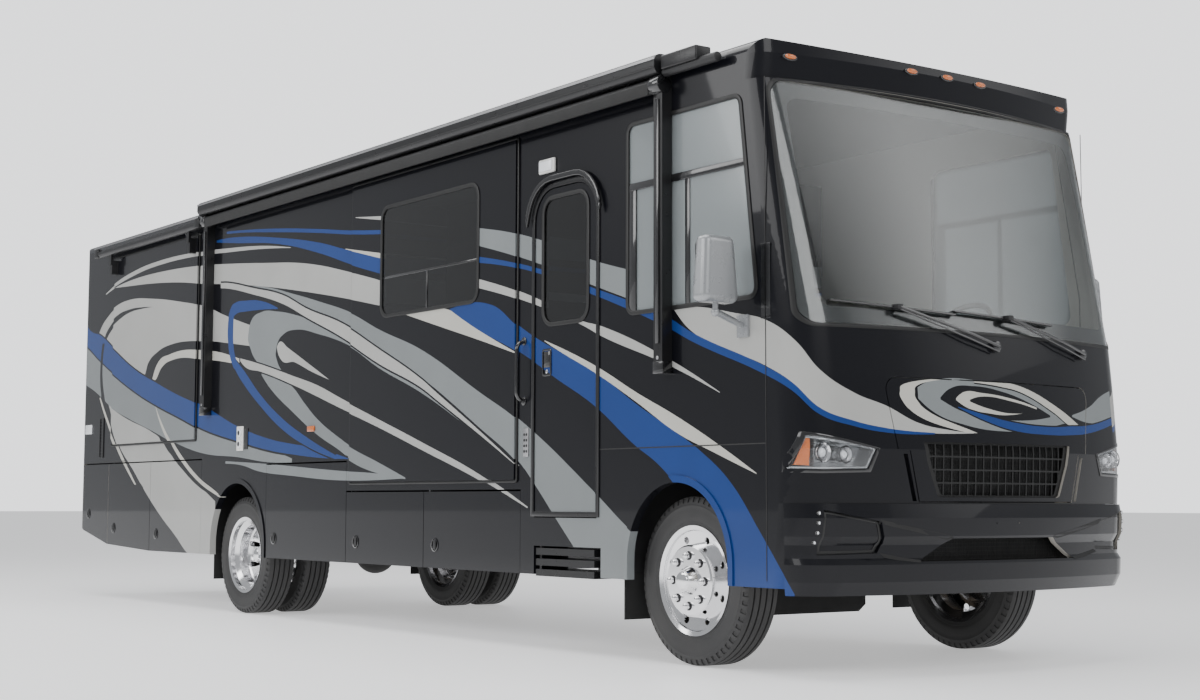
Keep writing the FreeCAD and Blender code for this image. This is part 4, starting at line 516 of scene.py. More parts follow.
def livery_group(name, strokes, upright, hood):
    """The paint's colour at a point, and one on the outside of the body."""
    group, _, result = new_group(name, [("Color", COLOUR), ("Outside", NUMBER)])
    x, y, z = add_node(group, "SeparateXYZ", {0: own_place(group)}).outputs
    station = math_of(group, "SUBTRACT", x, AXLE)
    across_y = math_of(group, "ABSOLUTE", y)
    round_corner = math_of(group, "MAXIMUM", math_of(group, "SUBTRACT", HALF_W, across_y), 0.0)
    ahead = math_of(group, "GREATER_THAN", station, CAP_CORNER)
    behind = math_of(group, "LESS_THAN", station, TAIL_CORNER)
    turn_sign = math_of(group, "SUBTRACT", ahead, behind)
    run = math_of(group, "ADD", station, math_of(group, "MULTIPLY", turn_sign, round_corner))
    level = math_of(group, "DIVIDE", z, HEIGHTS[1])
    run_level = add_node(group, "MapRange", {"Value": run, "From Min": STATIONS[0],
                                             "From Max": STATIONS[1]}, clamp=False).outputs["Result"]
    colour = add_node(group, "RGB").outputs[0]
    colour.default_value = CHARCOAL
    colour = paint_strokes(group, colour, strokes, run, level, HEIGHTS)
    colour = paint_strokes(group, colour, upright, z, run_level, STATIONS)
    if hood:
        side_level = math_of(group, "MULTIPLY_ADD", y, 1 / (HOOD_SPAN[1] - HOOD_SPAN[0]), 0.5)
        plain = colour
        colour = paint_strokes(group, colour, HOOD_STROKES, y, level, HEIGHTS)
        colour = paint_strokes(group, colour, HOOD_UPRIGHT, z, side_level, HOOD_SPAN)
        colour = mix_of(group, math_of(group, "GREATER_THAN", station, HOOD_START), plain, colour)
    outside = facing_out(group)
    group.links.new(mix_of(group, outside, LINING, colour), result.inputs["Color"])
    group.links.new(outside, result.inputs["Outside"])
    return group


SIDE_STROKES = TAIL_STROKES + MIDDLE_STROKES + FRONT_STROKES
SIDE_LIVERY = livery_group("side_livery", SIDE_STROKES, UPRIGHT_STROKES, False)
NOSE_LIVERY = livery_group("nose_livery", FRONT_STROKES[3:], [], True)
print("livery nodes", len(SIDE_LIVERY.nodes), len(NOSE_LIVERY.nodes))

# %% [markdown]
# ## Finishes
# Body paint is a charcoal metallic base under thick clear lacquer, so it is dark and satin
# below and mirror-smooth on top: a Principled shader with full coat. The interior lining that
# the same panels show on their inner side has no lacquer, so the livery's outside mask also
# drives the coat and the roughness.

# %% Body paint
def mix_number(tree, factor, first, second):
    """Two numbers mixed by a factor."""
    node = add_node(tree, "Mix", {0: factor, 2: first, 3: second}, data_type="FLOAT")
    return node.outputs[0]


def body_paint(name, livery):
    """The livery under lacquer outside, and a dull lining inside."""
    material, tree, shader = new_material(name, {
        "Coat Roughness": 0.03, "Coat IOR": 1.25, "Specular IOR Level": 0.15})
    painted = use_group(tree, livery)
    outside = painted.node.outputs["Outside"]
    dusty = use_group(tree, MOTTLE, scale=1.6, low=0.93, high=1.06)
    paint_with(tree, shader, painted, dusty)
    flake = add_node(tree, "TexNoise", {"Vector": own_place(tree), "Scale": 900.0, "Detail": 1.0})
    rough = math_of(tree, "MULTIPLY_ADD", flake.outputs["Fac"], 0.08, 0.24)
    tree.links.new(mix_number(tree, outside, 0.62, rough), shader.inputs["Roughness"])
    tree.links.new(outside, shader.inputs["Coat Weight"])
    return material


SIDE_PAINT = body_paint("livery_paint", SIDE_LIVERY)
NOSE_PAINT = body_paint("nose_paint", NOSE_LIVERY)

# %% [markdown]
# Most other parts of a coach have plain industrial finishes: powder coat, moulded plastic,
# rubber, vinyl and metal. One helper makes each from a colour, its mottle, its grain and its
# gloss, since they differ in values rather than in kind.

# %% Plain finishes
def plain_finish(name, colour, rough, metal=0.0, grain=(0, 0), mottle=0.12, coat=0.0):
    """A finish from its colour and gloss; grain is (scale per metre, height in metres)."""
    material, tree, shader = new_material(name, {
        "Metallic": metal, "Coat Weight": coat, "Coat Roughness": 0.05})
    shade = use_group(tree, MOTTLE, scale=3.0, low=1 - mottle, high=1 + mottle)
    paint_with(tree, shader, colour, shade)
    spread = use_group(tree, MOTTLE, scale=12.0, low=max(rough - 0.05, 0.02), high=rough + 0.06)
    tree.links.new(spread, shader.inputs["Roughness"])
    if grain[0]:
        add_bump(tree, shader, use_group(tree, GRAIN, scale=grain[0]), 1.0, grain[1])
    return material


ROOF_SKIN = plain_finish("roof_skin", (0.016, 0.017, 0.021), 0.35, coat=0.4)
CHASSIS_BLACK = plain_finish("chassis_black", (0.018, 0.018, 0.018), 0.55, grain=(160, 0.0006))
BLACK_PLASTIC = plain_finish("black_plastic", (0.014, 0.014, 0.015), 0.5, grain=(420, 0.0003))
# The mesh's near-black also makes the painted shadow strips on the bumper.
MESH_AND_SHADOW_BLACK = plain_finish("mesh_and_shadow_black", (0.004, 0.004, 0.004), 0.6, mottle=0.05)
GLOSS_BLACK = plain_finish("gloss_black", (0.008, 0.008, 0.009), 0.16, coat=0.8, mottle=0.05)
BLACK_ALUMINIUM = plain_finish("black_aluminium", (0.012, 0.012, 0.013), 0.3, metal=0.2, grain=(700, 0.0001))
SATIN_METAL = plain_finish("satin_metal", (0.42, 0.42, 0.43), 0.38, metal=0.9, mottle=0.06)
POLISHED = plain_finish("polished_aluminium", (0.86, 0.86, 0.87), 0.12, metal=1.0, mottle=0.05)
CHROME = plain_finish("chrome", (0.9, 0.9, 0.91), 0.05, metal=1.0, mottle=0.02)
MIRROR_SILVER = plain_finish("mirror_silver", (0.30, 0.31, 0.32), 0.28, metal=0.35, coat=0.6, mottle=0.04)
WHITE_PLASTIC = plain_finish("white_plastic", (0.78, 0.78, 0.75), 0.35, grain=(260, 0.0001), mottle=0.04)
TANK_PLASTIC = plain_finish("tank_plastic", (0.03, 0.03, 0.032), 0.45, grain=(90, 0.0008))
ENGINE_GREY = plain_finish("engine_grey", (0.10, 0.10, 0.105), 0.6, metal=0.4, grain=(120, 0.001))
FLAP_RUBBER = plain_finish("flap_rubber", (0.012, 0.012, 0.012), 0.7, grain=(240, 0.0005))
# The seals' deep black also makes painted shadow: the bands round the bumper pockets and the roof shrouds'
# slots.
SEAL_RUBBER_AND_SHADOW = plain_finish("seal_rubber_and_shadow", (0.008, 0.008, 0.008), 0.42, mottle=0.08)
DASH_VINYL = plain_finish("dash_vinyl", (0.13, 0.135, 0.14), 0.6, grain=(380, 0.0005))
WHEEL_LEATHER = plain_finish("wheel_leather", (0.016, 0.016, 0.016), 0.45, grain=(600, 0.0003))
BAY_LINING = plain_finish("bay_lining", (0.30, 0.30, 0.31), 0.45, metal=0.6, mottle=0.1)
LED_WHITE = plain_finish("led_white", (0.85, 0.87, 0.9), 0.2, coat=0.5, mottle=0.03)
MIRROR_FACE = plain_finish("mirror_face", (0.75, 0.77, 0.78), 0.03, metal=1.0, mottle=0.02)
print("finishes so far", len(bpy.data.materials))

# %% [markdown]
# Glass is a thin pane that lets light through, darkened by its tint. So that the cab behind it
# is lit, a pane counts as clear for shadow rays: the Light Path node picks a plain Transparent
# shader for those.

# %% Glass and lenses
def glass_finish(name, colour, shadow, transmission=1.0):
    """A tinted pane that throws a tinted shadow instead of a black one."""
    material, tree, shader = new_material(name, {
        "Base Color": (*colour, 1), "Roughness": 0.0, "Transmission Weight": transmission,
        "IOR": 1.15, "Coat Weight": 1.0, "Coat Roughness": 0.12})
    see_through = add_node(tree, "BsdfTransparent", {"Color": (*shadow, 1)})
    shadow_ray = add_node(tree, "LightPath").outputs["Is Shadow Ray"]
    both = add_node(tree, "MixShader", {0: shadow_ray})
    tree.links.new(shader.outputs[0], both.inputs[1])
    tree.links.new(see_through.outputs[0], both.inputs[2])
    tree.links.new(both.outputs[0], tree.nodes["Material Output"].inputs["Surface"])
    return material


CLEAR_GLASS = glass_finish("clear_glass", (0.72, 0.76, 0.76), (0.7, 0.72, 0.72))
TINTED_GLASS = glass_finish("tinted_glass", (0.17, 0.18, 0.19), (0.16, 0.17, 0.18))
CAB_GLASS = glass_finish("cab_glass", (0.44, 0.48, 0.49), (0.7, 0.72, 0.72), transmission=0.62)
LAMP_GLASS = glass_finish("lamp_glass", (0.95, 0.96, 0.97), (0.95, 0.95, 0.95))


def lens_finish(name, colour, ribs):
    """A coloured lens: smooth outside, with fine ribs, its colour lighter and darker along them as painted
    highlight and shade.
    """
    material, tree, shader = new_material(name, {"Roughness": 0.12, "Coat Weight": 1.0})
    height = add_node(tree, "SeparateXYZ", {0: own_place(tree)}).outputs[2]
    wave = math_of(tree, "SINE", math_of(tree, "MULTIPLY", height, ribs))
    # The colour rises and falls with the ribs: painted highlight and shade on them.
    paint_with(tree, shader, colour, math_of(tree, "MULTIPLY_ADD", wave, 0.12, 0.95))
    add_bump(tree, shader, wave, 0.25, 0.0008)
    return material


RED_LENS = lens_finish("red_lens", (0.30, 0.006, 0.006), 900.0)
AMBER_LENS = lens_finish("amber_lens", (0.62, 0.14, 0.012), 700.0)

# %% [markdown]
# Tyre rubber is nearly black and dull, with a dusty grey bloom. Seat leather has a pebbled grain.
# The lamp housing is one metal-coated moulding with fine ribs across it, its colour lighter and darker with
# the ribs as painted highlight and shade.

# %% Rubber, leather and lamp housing
def tyre_rubber():
    material, tree, shader = new_material("tyre_rubber", {"Roughness": 0.62})
    dust = use_group(tree, MOTTLE, scale=2.5, low=0.0, high=1.0)
    shade = mix_of(tree, dust, (0.026, 0.026, 0.027, 1), (0.046, 0.045, 0.044, 1))
    tree.links.new(shade, shader.inputs["Base Color"])
    add_bump(tree, shader, use_group(tree, GRAIN, scale=260.0), 1.0, 0.0005)
    return material


TYRE_RUBBER = tyre_rubber()


def soft_leather(name, colour, crease_or_shadow):
    """Leather: a pebbled grain of small cells with a little colour drift."""
    material, tree, shader = new_material(name, {"Roughness": 0.48})
    cells = add_node(tree, "TexVoronoi", {"Vector": own_place(tree), "Scale": 420.0},
                     feature="DISTANCE_TO_EDGE").outputs["Distance"]
    paint_with(tree, shader, colour, use_group(tree, MOTTLE, scale=6.0, low=0.85, high=1.12))
    folds = use_group(tree, MOTTLE, scale=22.0, low=0.0, high=crease_or_shadow)
    add_bump(tree, shader, math_of(tree, "ADD", cells, folds), 0.6, 0.0012)
    return material


SEAT_LEATHER = soft_leather("seat_leather", (0.20, 0.19, 0.175), 0.6)


def lamp_housing():
    material, tree, shader = new_material("lamp_housing", {"Metallic": 0.8, "Roughness": 0.2})
    height = add_node(tree, "SeparateXYZ", {0: own_place(tree)}).outputs[2]
    ribs = math_of(tree, "SINE", math_of(tree, "MULTIPLY", height, 520.0))
    share = math_of(tree, "MULTIPLY_ADD", ribs, 0.15, 0.5)
    # Two greys follow the ribs: painted highlight and shade on them.
    shade = mix_of(tree, share, (0.32, 0.33, 0.34, 1), (0.55, 0.56, 0.57, 1))
    tree.links.new(shade, shader.inputs["Base Color"])
    add_bump(tree, shader, ribs, 0.3, 0.001)
    return material


LAMP_HOUSING = lamp_housing()

# %% [markdown]
# The floor is sealed board: long boards with a drifting grain along the coach. Then every CAD
# node gets the finish of its material slot, apart from a few that share a slot but not a look.

# %% Floor boards and the nodes
def floor_board():
    material, tree, shader = new_material("floor_board", {"Roughness": 0.45})
    long_way = add_node(tree, "Mapping", {"Vector": own_place(tree), "Scale": (0.6, 9.0, 9.0)})
    grain = add_node(tree, "TexNoise", {"Vector": long_way.outputs[0], "Scale": 3.0,
                                        "Detail": 6.0}).outputs["Fac"]
    shade = mix_of(tree, grain, (0.16, 0.125, 0.09, 1), (0.34, 0.28, 0.21, 1))
    tree.links.new(shade, shader.inputs["Base Color"])
    add_bump(tree, shader, grain, 0.3, 0.001)
    return material


FLOOR_BOARD = floor_board()
NODE_FINISHES = {
    "body_paint": SIDE_PAINT, "chassis_black": CHASSIS_BLACK, "engine_grey": ENGINE_GREY,
    "tank_plastic": TANK_PLASTIC, "floor_board": FLOOR_BOARD, "bay_lining": BAY_LINING,
    "black_plastic": BLACK_PLASTIC, "roof_skin": ROOF_SKIN, "clear_glass": CLEAR_GLASS,
    "tinted_glass": TINTED_GLASS, "lamp_glass": LAMP_GLASS, "lamp_housing": LAMP_HOUSING,
    "red_lens": RED_LENS, "mirror_shell": MIRROR_SILVER, "black_aluminium": BLACK_ALUMINIUM,
    "white_plastic": WHITE_PLASTIC, "flap_rubber": FLAP_RUBBER, "dash_vinyl": DASH_VINYL,
    "seat_leather": SEAT_LEATHER, "wheel_leather": WHEEL_LEATHER, "grille_mesh": MESH_AND_SHADOW_BLACK,
    "tyre_rubber": TYRE_RUBBER, "polished_wheel": POLISHED,
}
SPECIAL_NODES = {"front_cap": NOSE_PAINT, "hood_panel": NOSE_PAINT, "front_bumper": NOSE_PAINT,
                 "roof_units": ROOF_SKIN, "side_glass": CAB_GLASS}
for part in frame["record"]["subparts"]:
    node, slot = part["node"], part["material_slot"]
    mesh = frame["nodes"][node].data
    mesh.materials.clear()
    mesh.materials.append(SPECIAL_NODES.get(node, NODE_FINISHES[slot]))

# %% [markdown]
# ## Tools of the bench
# Every added piece starts as a primitive, is shaped in edit mode and then settled: its place
# goes into its mesh, it gets its finish and its shading, and it rides on a body. These few
# helpers keep that order the same for every piece.

# %% Start and settle
def apply_place():
    """Puts the picked piece's place, turn and scale into its mesh."""
    bpy.ops.object.transform_apply(location=True, rotation=True, scale=True)


def pick_only(piece):
    """Makes a piece active and the only one picked."""
    bpy.ops.object.select_all(action="DESELECT")
    piece.select_set(True)
    bpy.context.view_layer.objects.active = piece


def edit(action="SELECT"):
    """Opens the active piece in edit mode with all of it picked, or none."""
    bpy.ops.object.mode_set(mode="EDIT")
    bpy.ops.mesh.select_all(action=action)


def leave_edit():
    bpy.ops.object.mode_set(mode="OBJECT")


def pick_faces(piece, wanted):
    """Opens a piece in edit mode with the faces picked that a test wants."""
    edit("DESELECT")
    shell = bmesh.from_edit_mesh(piece.data)
    for face in shell.faces:
        face.select_set(wanted(face))
    bmesh.update_edit_mesh(piece.data)


def shape_by(kind, **settings):
    """Adds a modifier to the active piece and applies it."""
    modifier = bpy.context.object.modifiers.new(kind.lower(), kind)
    for key, value in settings.items():
        setattr(modifier, key, value)
    bpy.ops.object.modifier_apply(modifier=modifier.name)


def begin(kind, name, **place):
    """A new primitive, alone in the selection."""
    bpy.ops.object.select_all(action="DESELECT")
    getattr(bpy.ops.mesh, f"primitive_{kind}_add")(**place)
    piece = bpy.context.object
    piece.name = name
    apply_place()
    return piece


def soften(width, segments=2, angle=35):
    """Bevels the active piece's sharp edges."""
    shape_by("BEVEL", width=width, segments=segments, limit_method="ANGLE",
             angle_limit=math.radians(angle))


def face_outwards():
    """Merges doubles and turns every face of the active piece outwards."""
    edit()
    bpy.ops.mesh.remove_doubles(threshold=0.00005)
    bpy.ops.mesh.normals_make_consistent(inside=False)
    leave_edit()


def settle(piece, finish, body="root", angle=35):
    """Gives a shaped piece its finish and shading, and puts it on a body."""
    pick_only(piece)
    apply_place()
    piece.data.materials.clear()
    piece.data.materials.append(finish)
    bpy.ops.object.shade_smooth_by_angle(angle=math.radians(angle))
    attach(piece, body)
    return piece


# %% [markdown]
# Most trim is a block or a rod with softened edges, an outline pulled to a thickness, a ring
# round a window, or a turned part. An outline is drawn as by hand: one vertex, then extruded
# from point to point and closed.

# %% Blocks, rods and drawn outlines
def block(name, low, high, edge=0.004, segments=2):
    """A softened block between two corners."""
    low, high = Vector(low), Vector(high)
    piece = begin("cube", name, size=1, location=(low + high) / 2, scale=high - low)
    soften(edge, segments)
    return piece


def outward_of(face):
    """1 on the coach's left wall and -1 on its right one."""
    return 1 if face > 0 else -1


def wall_block(name, x, z, face, out, back=0.0, edge=0.004, segments=2):
    """A softened block on a side wall, standing out of it and reaching back into it."""
    outward = outward_of(face)
    near, far = sorted((face + outward * out, face - outward * back))
    return block(name, (x[0], near, z[0]), (x[1], far, z[1]), edge, segments)


def rod(name, start, end, radius, sides=20, edge=0.0):
    """A round bar between two points."""
    start, end = Vector(start), Vector(end)
    turn = (end - start).to_track_quat("Z", "Y").to_euler()
    piece = begin("cylinder", name, vertices=sides, radius=radius, depth=(end - start).length,
                  location=(start + end) / 2, rotation=turn)
    if edge:
        soften(edge, 2, 60)
    return piece


def stud(name, base, out, radius, sides=20, edge=0.001):
    """A short round piece standing on a wall, out along Y."""
    base = Vector(base)
    return rod(name, base, base + Vector((0, out, 0)), radius, sides, edge)


def draw(name, points, closed=True):
    """Draws a line of vertices point by point, leaves it selected in edit mode."""
    points = [Vector(point) for point in points]
    piece = begin("plane", name, size=0.01)
    edit()
    bpy.ops.mesh.merge(type="CENTER")
    bpy.ops.transform.translate(value=points[0])
    for before, after in zip(points, points[1:]):
        bpy.ops.mesh.extrude_vertices_move(TRANSFORM_OT_translate={"value": after - before})
    bpy.ops.mesh.select_all(action="SELECT")
    if closed:
        bpy.ops.mesh.edge_face_add()
    return piece


def plate(name, points, depth, edge=0.0, segments=2):
    """A drawn outline pulled to a thickness."""
    piece = draw(name, points)
    bpy.ops.mesh.extrude_region_move(TRANSFORM_OT_translate={"value": depth})
    leave_edit()
    face_outwards()
    if edge:
        soften(edge, segments)
    return piece


def ring(name, points, width, depth, edge=0.0):
    """A frame that follows an outline on its inner side, pulled to a thickness."""
    piece = draw(name, points)
    bpy.ops.mesh.inset(thickness=width, use_boundary=True)
    bpy.ops.mesh.delete(type="FACE")
    bpy.ops.mesh.select_all(action="SELECT")
    bpy.ops.mesh.extrude_region_move(TRANSFORM_OT_translate={"value": depth})
    leave_edit()
    face_outwards()
    if edge:
        soften(edge)
    return piece


def lathe(name, profile, centre, steps=64, axis="Y"):
    """A part turned round an axis through centre; profile is (radius, distance along it)."""
    centre = Vector(centre)
    along = {"X": Vector((1, 0, 0)), "Y": Vector((0, 1, 0)), "Z": Vector((0, 0, 1))}[axis]
    out = Vector((0, 0, 1)) if axis != "Z" else Vector((1, 0, 0))
    piece = draw(name, [centre + out * radius + along * step for radius, step in profile], closed=False)
    bpy.ops.mesh.spin(steps=steps, angle=2 * math.pi, center=centre, axis=along)
    leave_edit()
    face_outwards()
    return piece


def pipe(name, points, radius, bend=0.0, sides=3):
    """A round bar along a drawn line, its corners rounded to about the bend."""
    piece = draw(name, points, closed=False)
    if bend:
        bpy.ops.mesh.bevel(offset=bend, segments=5, affect="VERTICES")
    leave_edit()
    bpy.ops.object.convert(target="CURVE")
    piece = bpy.context.object
    piece.data.bevel_depth = radius
    piece.data.bevel_resolution = sides
    piece.data.use_fill_caps = True
    bpy.ops.object.convert(target="MESH")
    piece = bpy.context.object
    face_outwards()
    return piece


def copied(piece, name, move=(0, 0, 0), mirror=False, body="root"):
    """A copy with its own mesh, moved or mirrored across the middle of the coach."""
    pick_only(piece)
    bpy.ops.object.duplicate(linked=False)
    twin = bpy.context.object
    twin.name = name
    twin.location = move
    if mirror:
        twin.scale = (1, -1, 1)
    apply_place()
    if mirror:
        face_outwards()
    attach(twin, body)
    return twin


def join(name, pieces):
    """One piece made of several."""
    bpy.ops.object.select_all(action="DESELECT")
    for piece in pieces:
        piece.select_set(True)
    bpy.context.view_layer.objects.active = pieces[0]
    bpy.ops.object.join()
    pieces[0].name = name
    return pieces[0]


def touch(node, start, direction):
    """Where a line of sight first meets a CAD node."""
    found, spot, _, _ = frame["nodes"][node].ray_cast(Vector(start), Vector(direction))
    assert found, (node, start)
    return spot


def from_ahead(node, y, z):
    """Where the nose is met from straight ahead."""
    return touch(node, (NOSE + 1, y, z), (-1, 0, 0))


def rounded(x0, x1, z0, z1, radius, y=SIDE, steps=5, lean=0.0):
    """A rectangle with round corners on the coach's side, its front edge leaning back by lean."""
    corners = [(x0, z0), (x1, z0), (x1 - lean, z1), (x0, z1)]
    points = []
    for i, corner in enumerate(corners):
        here = Vector(corner)
        back = (Vector(corners[i - 1]) - here).normalized()
        ahead_way = (Vector(corners[(i + 1) % 4]) - here).normalized()
        half = back.angle(ahead_way) / 2
        reach = radius / math.tan(half)
        hub = here + (back + ahead_way).normalized() * radius / math.sin(half)
        first, last = here + back * reach - hub, here + ahead_way * reach - hub
        start = math.atan2(first.y, first.x)
        sweep = (math.atan2(last.y, last.x) - start + math.pi) % (2 * math.pi) - math.pi
        for step in range(steps + 1):
            turn = start + sweep * step / steps
            points.append((hub.x + radius * math.cos(turn), y, hub.y + radius * math.sin(turn)))
    return points


def wall_ring(name, x, z, radius, face, proud, width, deep, edge=0.002, steps=5, lean=0.0):
    """A frame on a side wall, standing proud of it and pulled back to its depth."""
    outward = outward_of(face)
    outline = rounded(*x, *z, radius, face + outward * proud, steps, lean)
    return ring(name, outline, width, (0, -outward * deep, 0), edge)


print("corner points of a rounded outline", len(rounded(0, 1, 0, 1, 0.1)))

# %% [markdown]
# ## Tyres
# A coach tyre has a ribbed tread with four deep grooves, square shoulders cut into lugs, and a
# side wall with a few moulded rings. The section is turned round the axle, and the lugs are
# single faces of each shoulder, inset and pushed in. Half of the section is a short list from
# bead to tread, and the other half is its mirror image.

# %% Tyre section
tyre_low, tyre_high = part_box("front_tyre_right")
SKIN = 0.0005
TYRE_OUT = (tyre_high[2] - tyre_low[2]) / 2 - SKIN
TYRE_HALF = (tyre_high[1] - tyre_low[1]) / 2 - SKIN
BEAD = 0.292
GROOVES = (0.022, 0.066)
tyre_half = [(BEAD, 0.092), (BEAD + 0.014, 0.1045), (BEAD + 0.020, 0.1085), (BEAD + 0.030, 0.1105),
             (BEAD + 0.034, 0.1135), (BEAD + 0.039, 0.1135), (BEAD + 0.043, 0.1165), (BEAD + 0.066, 0.1205),
             (BEAD + 0.098, TYRE_HALF), (BEAD + 0.118, TYRE_HALF - 0.001), (BEAD + 0.122, TYRE_HALF + 0.0003),
             (BEAD + 0.128, TYRE_HALF + 0.0003), (BEAD + 0.132, TYRE_HALF - 0.0025),
             (TYRE_OUT - 0.036, TYRE_HALF - 0.0045), (TYRE_OUT - 0.014, TYRE_HALF - 0.012),
             (TYRE_OUT - 0.005, TYRE_HALF - 0.020), (TYRE_OUT - 0.001, TYRE_HALF - 0.032)]
for groove in reversed(GROOVES):
    tyre_half += [(TYRE_OUT, groove + 0.006), (TYRE_OUT - 0.013, groove + 0.004),
                  (TYRE_OUT - 0.013, groove - 0.004), (TYRE_OUT, groove - 0.006)]
tyre_section = tyre_half + [(radius, -step) for radius, step in reversed(tyre_half)]
inner_bead = [(BEAD, -0.092), (BEAD + 0.004, -0.06), (BEAD + 0.004, 0.06), (BEAD, 0.092)]
print("tyre section", len(tyre_section), "points")


# %% One tyre
def make_tyre(name, centre, steps=120):
    """Turns the section, then sinks every other face of each shoulder for the lugs."""
    piece = lathe(name, tyre_section + inner_bead, centre, steps=steps)

    def is_lug(face):
        spot = face.calc_center_median() - centre
        radius = math.hypot(spot.x, spot.z)
        turn = round((math.atan2(spot.x, spot.z) / (2 * math.pi) % 1) * steps - 0.5)
        on_shoulder = TYRE_OUT - 0.034 < radius < TYRE_OUT - 0.006 and abs(spot.y) > TYRE_HALF - 0.018
        return on_shoulder and turn % 2 == 0

    pick_faces(piece, is_lug)
    bpy.ops.mesh.inset(thickness=0.0018, depth=-0.006, use_individual=False)
    leave_edit()
    return settle(piece, TYRE_RUBBER, angle=28)


def place_tyres(side):
    """A front tyre, and two copies of it on the rear wheel."""
    front_mid, rear_mid = middle(f"front_tyre_{side}"), middle(f"rear_tyres_{side}")
    front = make_tyre(f"road_tyre_front_{side}", front_mid)
    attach(front, f"front_wheel_{side}")
    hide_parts(f"front_tyre_{side}")
    low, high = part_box(f"rear_tyres_{side}")
    spots = sorted((low[1] + TYRE_HALF, high[1] - TYRE_HALF), key=abs)
    for y, place in zip(spots, ("inner", "outer")):
        move = Vector((rear_mid.x, y, middle(f"front_rim_{side}").z)) - front_mid
        twin = copied(front, f"road_tyre_rear_{place}_{side}", move=move, body=f"rear_wheels_{side}")
        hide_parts(f"rear_tyres_{side}")
    print(side, "tyres", len(front.data.polygons), "faces each")


for side, _ in SIDES:
    place_tyres(side)

# %% [markdown]
# ## Wheel nuts, hub caps and valves
# Eight capped hex nuts hold each wheel. A nut is a six-sided primitive whose top is inset,
# raised and drawn in, and it stands where a line of sight along the axle meets the disc. The
# hub cap is a turned dome with a small step where it presses into the hub.

# %% Wheel hardware
NUTS = 8
NUT_RING = 0.140
NUT_HIGH = 0.026


def wheel_nut(name, centre, outward):
    """A capped nut standing on the disc, pointing outwards."""
    turn = Vector((0, outward, 0)).to_track_quat("Z", "Y").to_euler()
    nut = begin("cylinder", name, vertices=6, radius=0.0205, depth=NUT_HIGH,
                location=centre + Vector((0, outward * NUT_HIGH / 2, 0)), rotation=turn)
    pick_faces(nut, lambda face: face.normal.y * outward > 0.9)
    bpy.ops.mesh.inset(thickness=0.0025)
    bpy.ops.mesh.extrude_region_move(TRANSFORM_OT_translate={"value": (0, outward * 0.010, 0)})
    bpy.ops.transform.resize(value=(0.7, 1.0, 0.7), center_override=centre)
    leave_edit()
    soften(0.0015, 1, 30)
    return nut


def hub_dome(dished):
    """The hub cap's section: (radius, distance out of the hub's face)."""
    deep = 0.03
    dome = [(0.0, deep), (0.022, deep - 0.001), (0.042, deep - 0.006), (0.056, deep - 0.014), (0.062, 0.0),
            (0.064, -0.004), (0.060, -0.006), (0.0, -0.006)]
    return dome if dished else [(radius * 0.85, step * 0.5) for radius, step in dome]


def dress_wheel(node, body, dished):
    """Nuts, a black ring under each as painted shade round its seat, hub cap and valve for one wheel; a rear
    wheel is dished.
    """
    hub = middle(node)
    sign = outward_of(hub.y)
    eye = sign * 2.0
    pieces = []
    for i in range(NUTS):
        turn = 2 * math.pi * i / NUTS
        spot = Vector((hub.x + NUT_RING * math.sin(turn), eye, hub.z + NUT_RING * math.cos(turn)))
        seat = touch(node, spot, (0, -sign, 0))
        pieces.append(settle(wheel_nut(f"{node}_nut_{i}", seat, sign), CHROME, body))
        # A black ring under each nut: painted shade round the nut's seat.
        nut_shadow_ring = stud(f"{node}_washer_{i}", seat, sign * 0.004, 0.0255)
        pieces.append(settle(nut_shadow_ring, BLACK_ALUMINIUM, body))
    cap_face = touch(node, (hub.x, eye, hub.z), (0, -sign, 0)).y
    dome = [(radius, cap_face + sign * step - hub.y) for radius, step in hub_dome(dished)]
    pieces.append(settle(lathe(f"{node}_hub_cap", dome, hub, 48), CHROME, body))
    base = touch(node, (hub.x + (0.18 if dished else 0.225), eye, hub.z + 0.03), (0, -sign, 0))
    pieces.append(settle(stud(f"{node}_valve", base, sign * 0.035, 0.004, 12), SATIN_METAL, body))
    return pieces


for side, _ in SIDES:
    front_bits = dress_wheel(f"front_rim_{side}", f"front_wheel_{side}", False)
    rear_bits = dress_wheel(f"rear_rims_{side}", f"rear_wheels_{side}", True)
    print(side, "wheel pieces", len(front_bits) + len(rear_bits))

# %% [markdown]
# ## Window seals and frames
# Coach windows are bonded or clamped in a black frame that stands a few millimetres off the
# wall. Each frame is the window's outline, a little larger than its opening, inset to a ring
# and pulled to a thickness, with softened edges. Bars divide the panes.

# %% Window frames
FRAME_PROUD = 0.007
FRAME_W = 0.026
GALLEY_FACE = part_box("galley_slide")[0][1]
SOFA_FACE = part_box("sofa_slide")[1][1]


def window_frame(name, x0, x1, z0, z1, radius, face=SIDE, body="root", lean=0.0):
    """A frame round one window, a little larger than its opening; face is the wall's outer Y."""
    grow = 0.010
    piece = wall_ring(name, (at(x0) - grow, at(x1) + grow), (z0 - grow, z1 + grow), radius + grow, face,
                      FRAME_PROUD, FRAME_W, FRAME_PROUD + 0.004, 0.0025, lean=lean)
    return settle(piece, SEAL_RUBBER_AND_SHADOW, body)


def pane_bar(name, x0, x1, z0, z1, face=SIDE, body="root", proud=0.004):
    """A bar across a pane."""
    piece = wall_block(name, (at(x0), at(x1)), (z0, z1), face, proud, 0.004, 0.002)
    return settle(piece, GLOSS_BLACK, body)


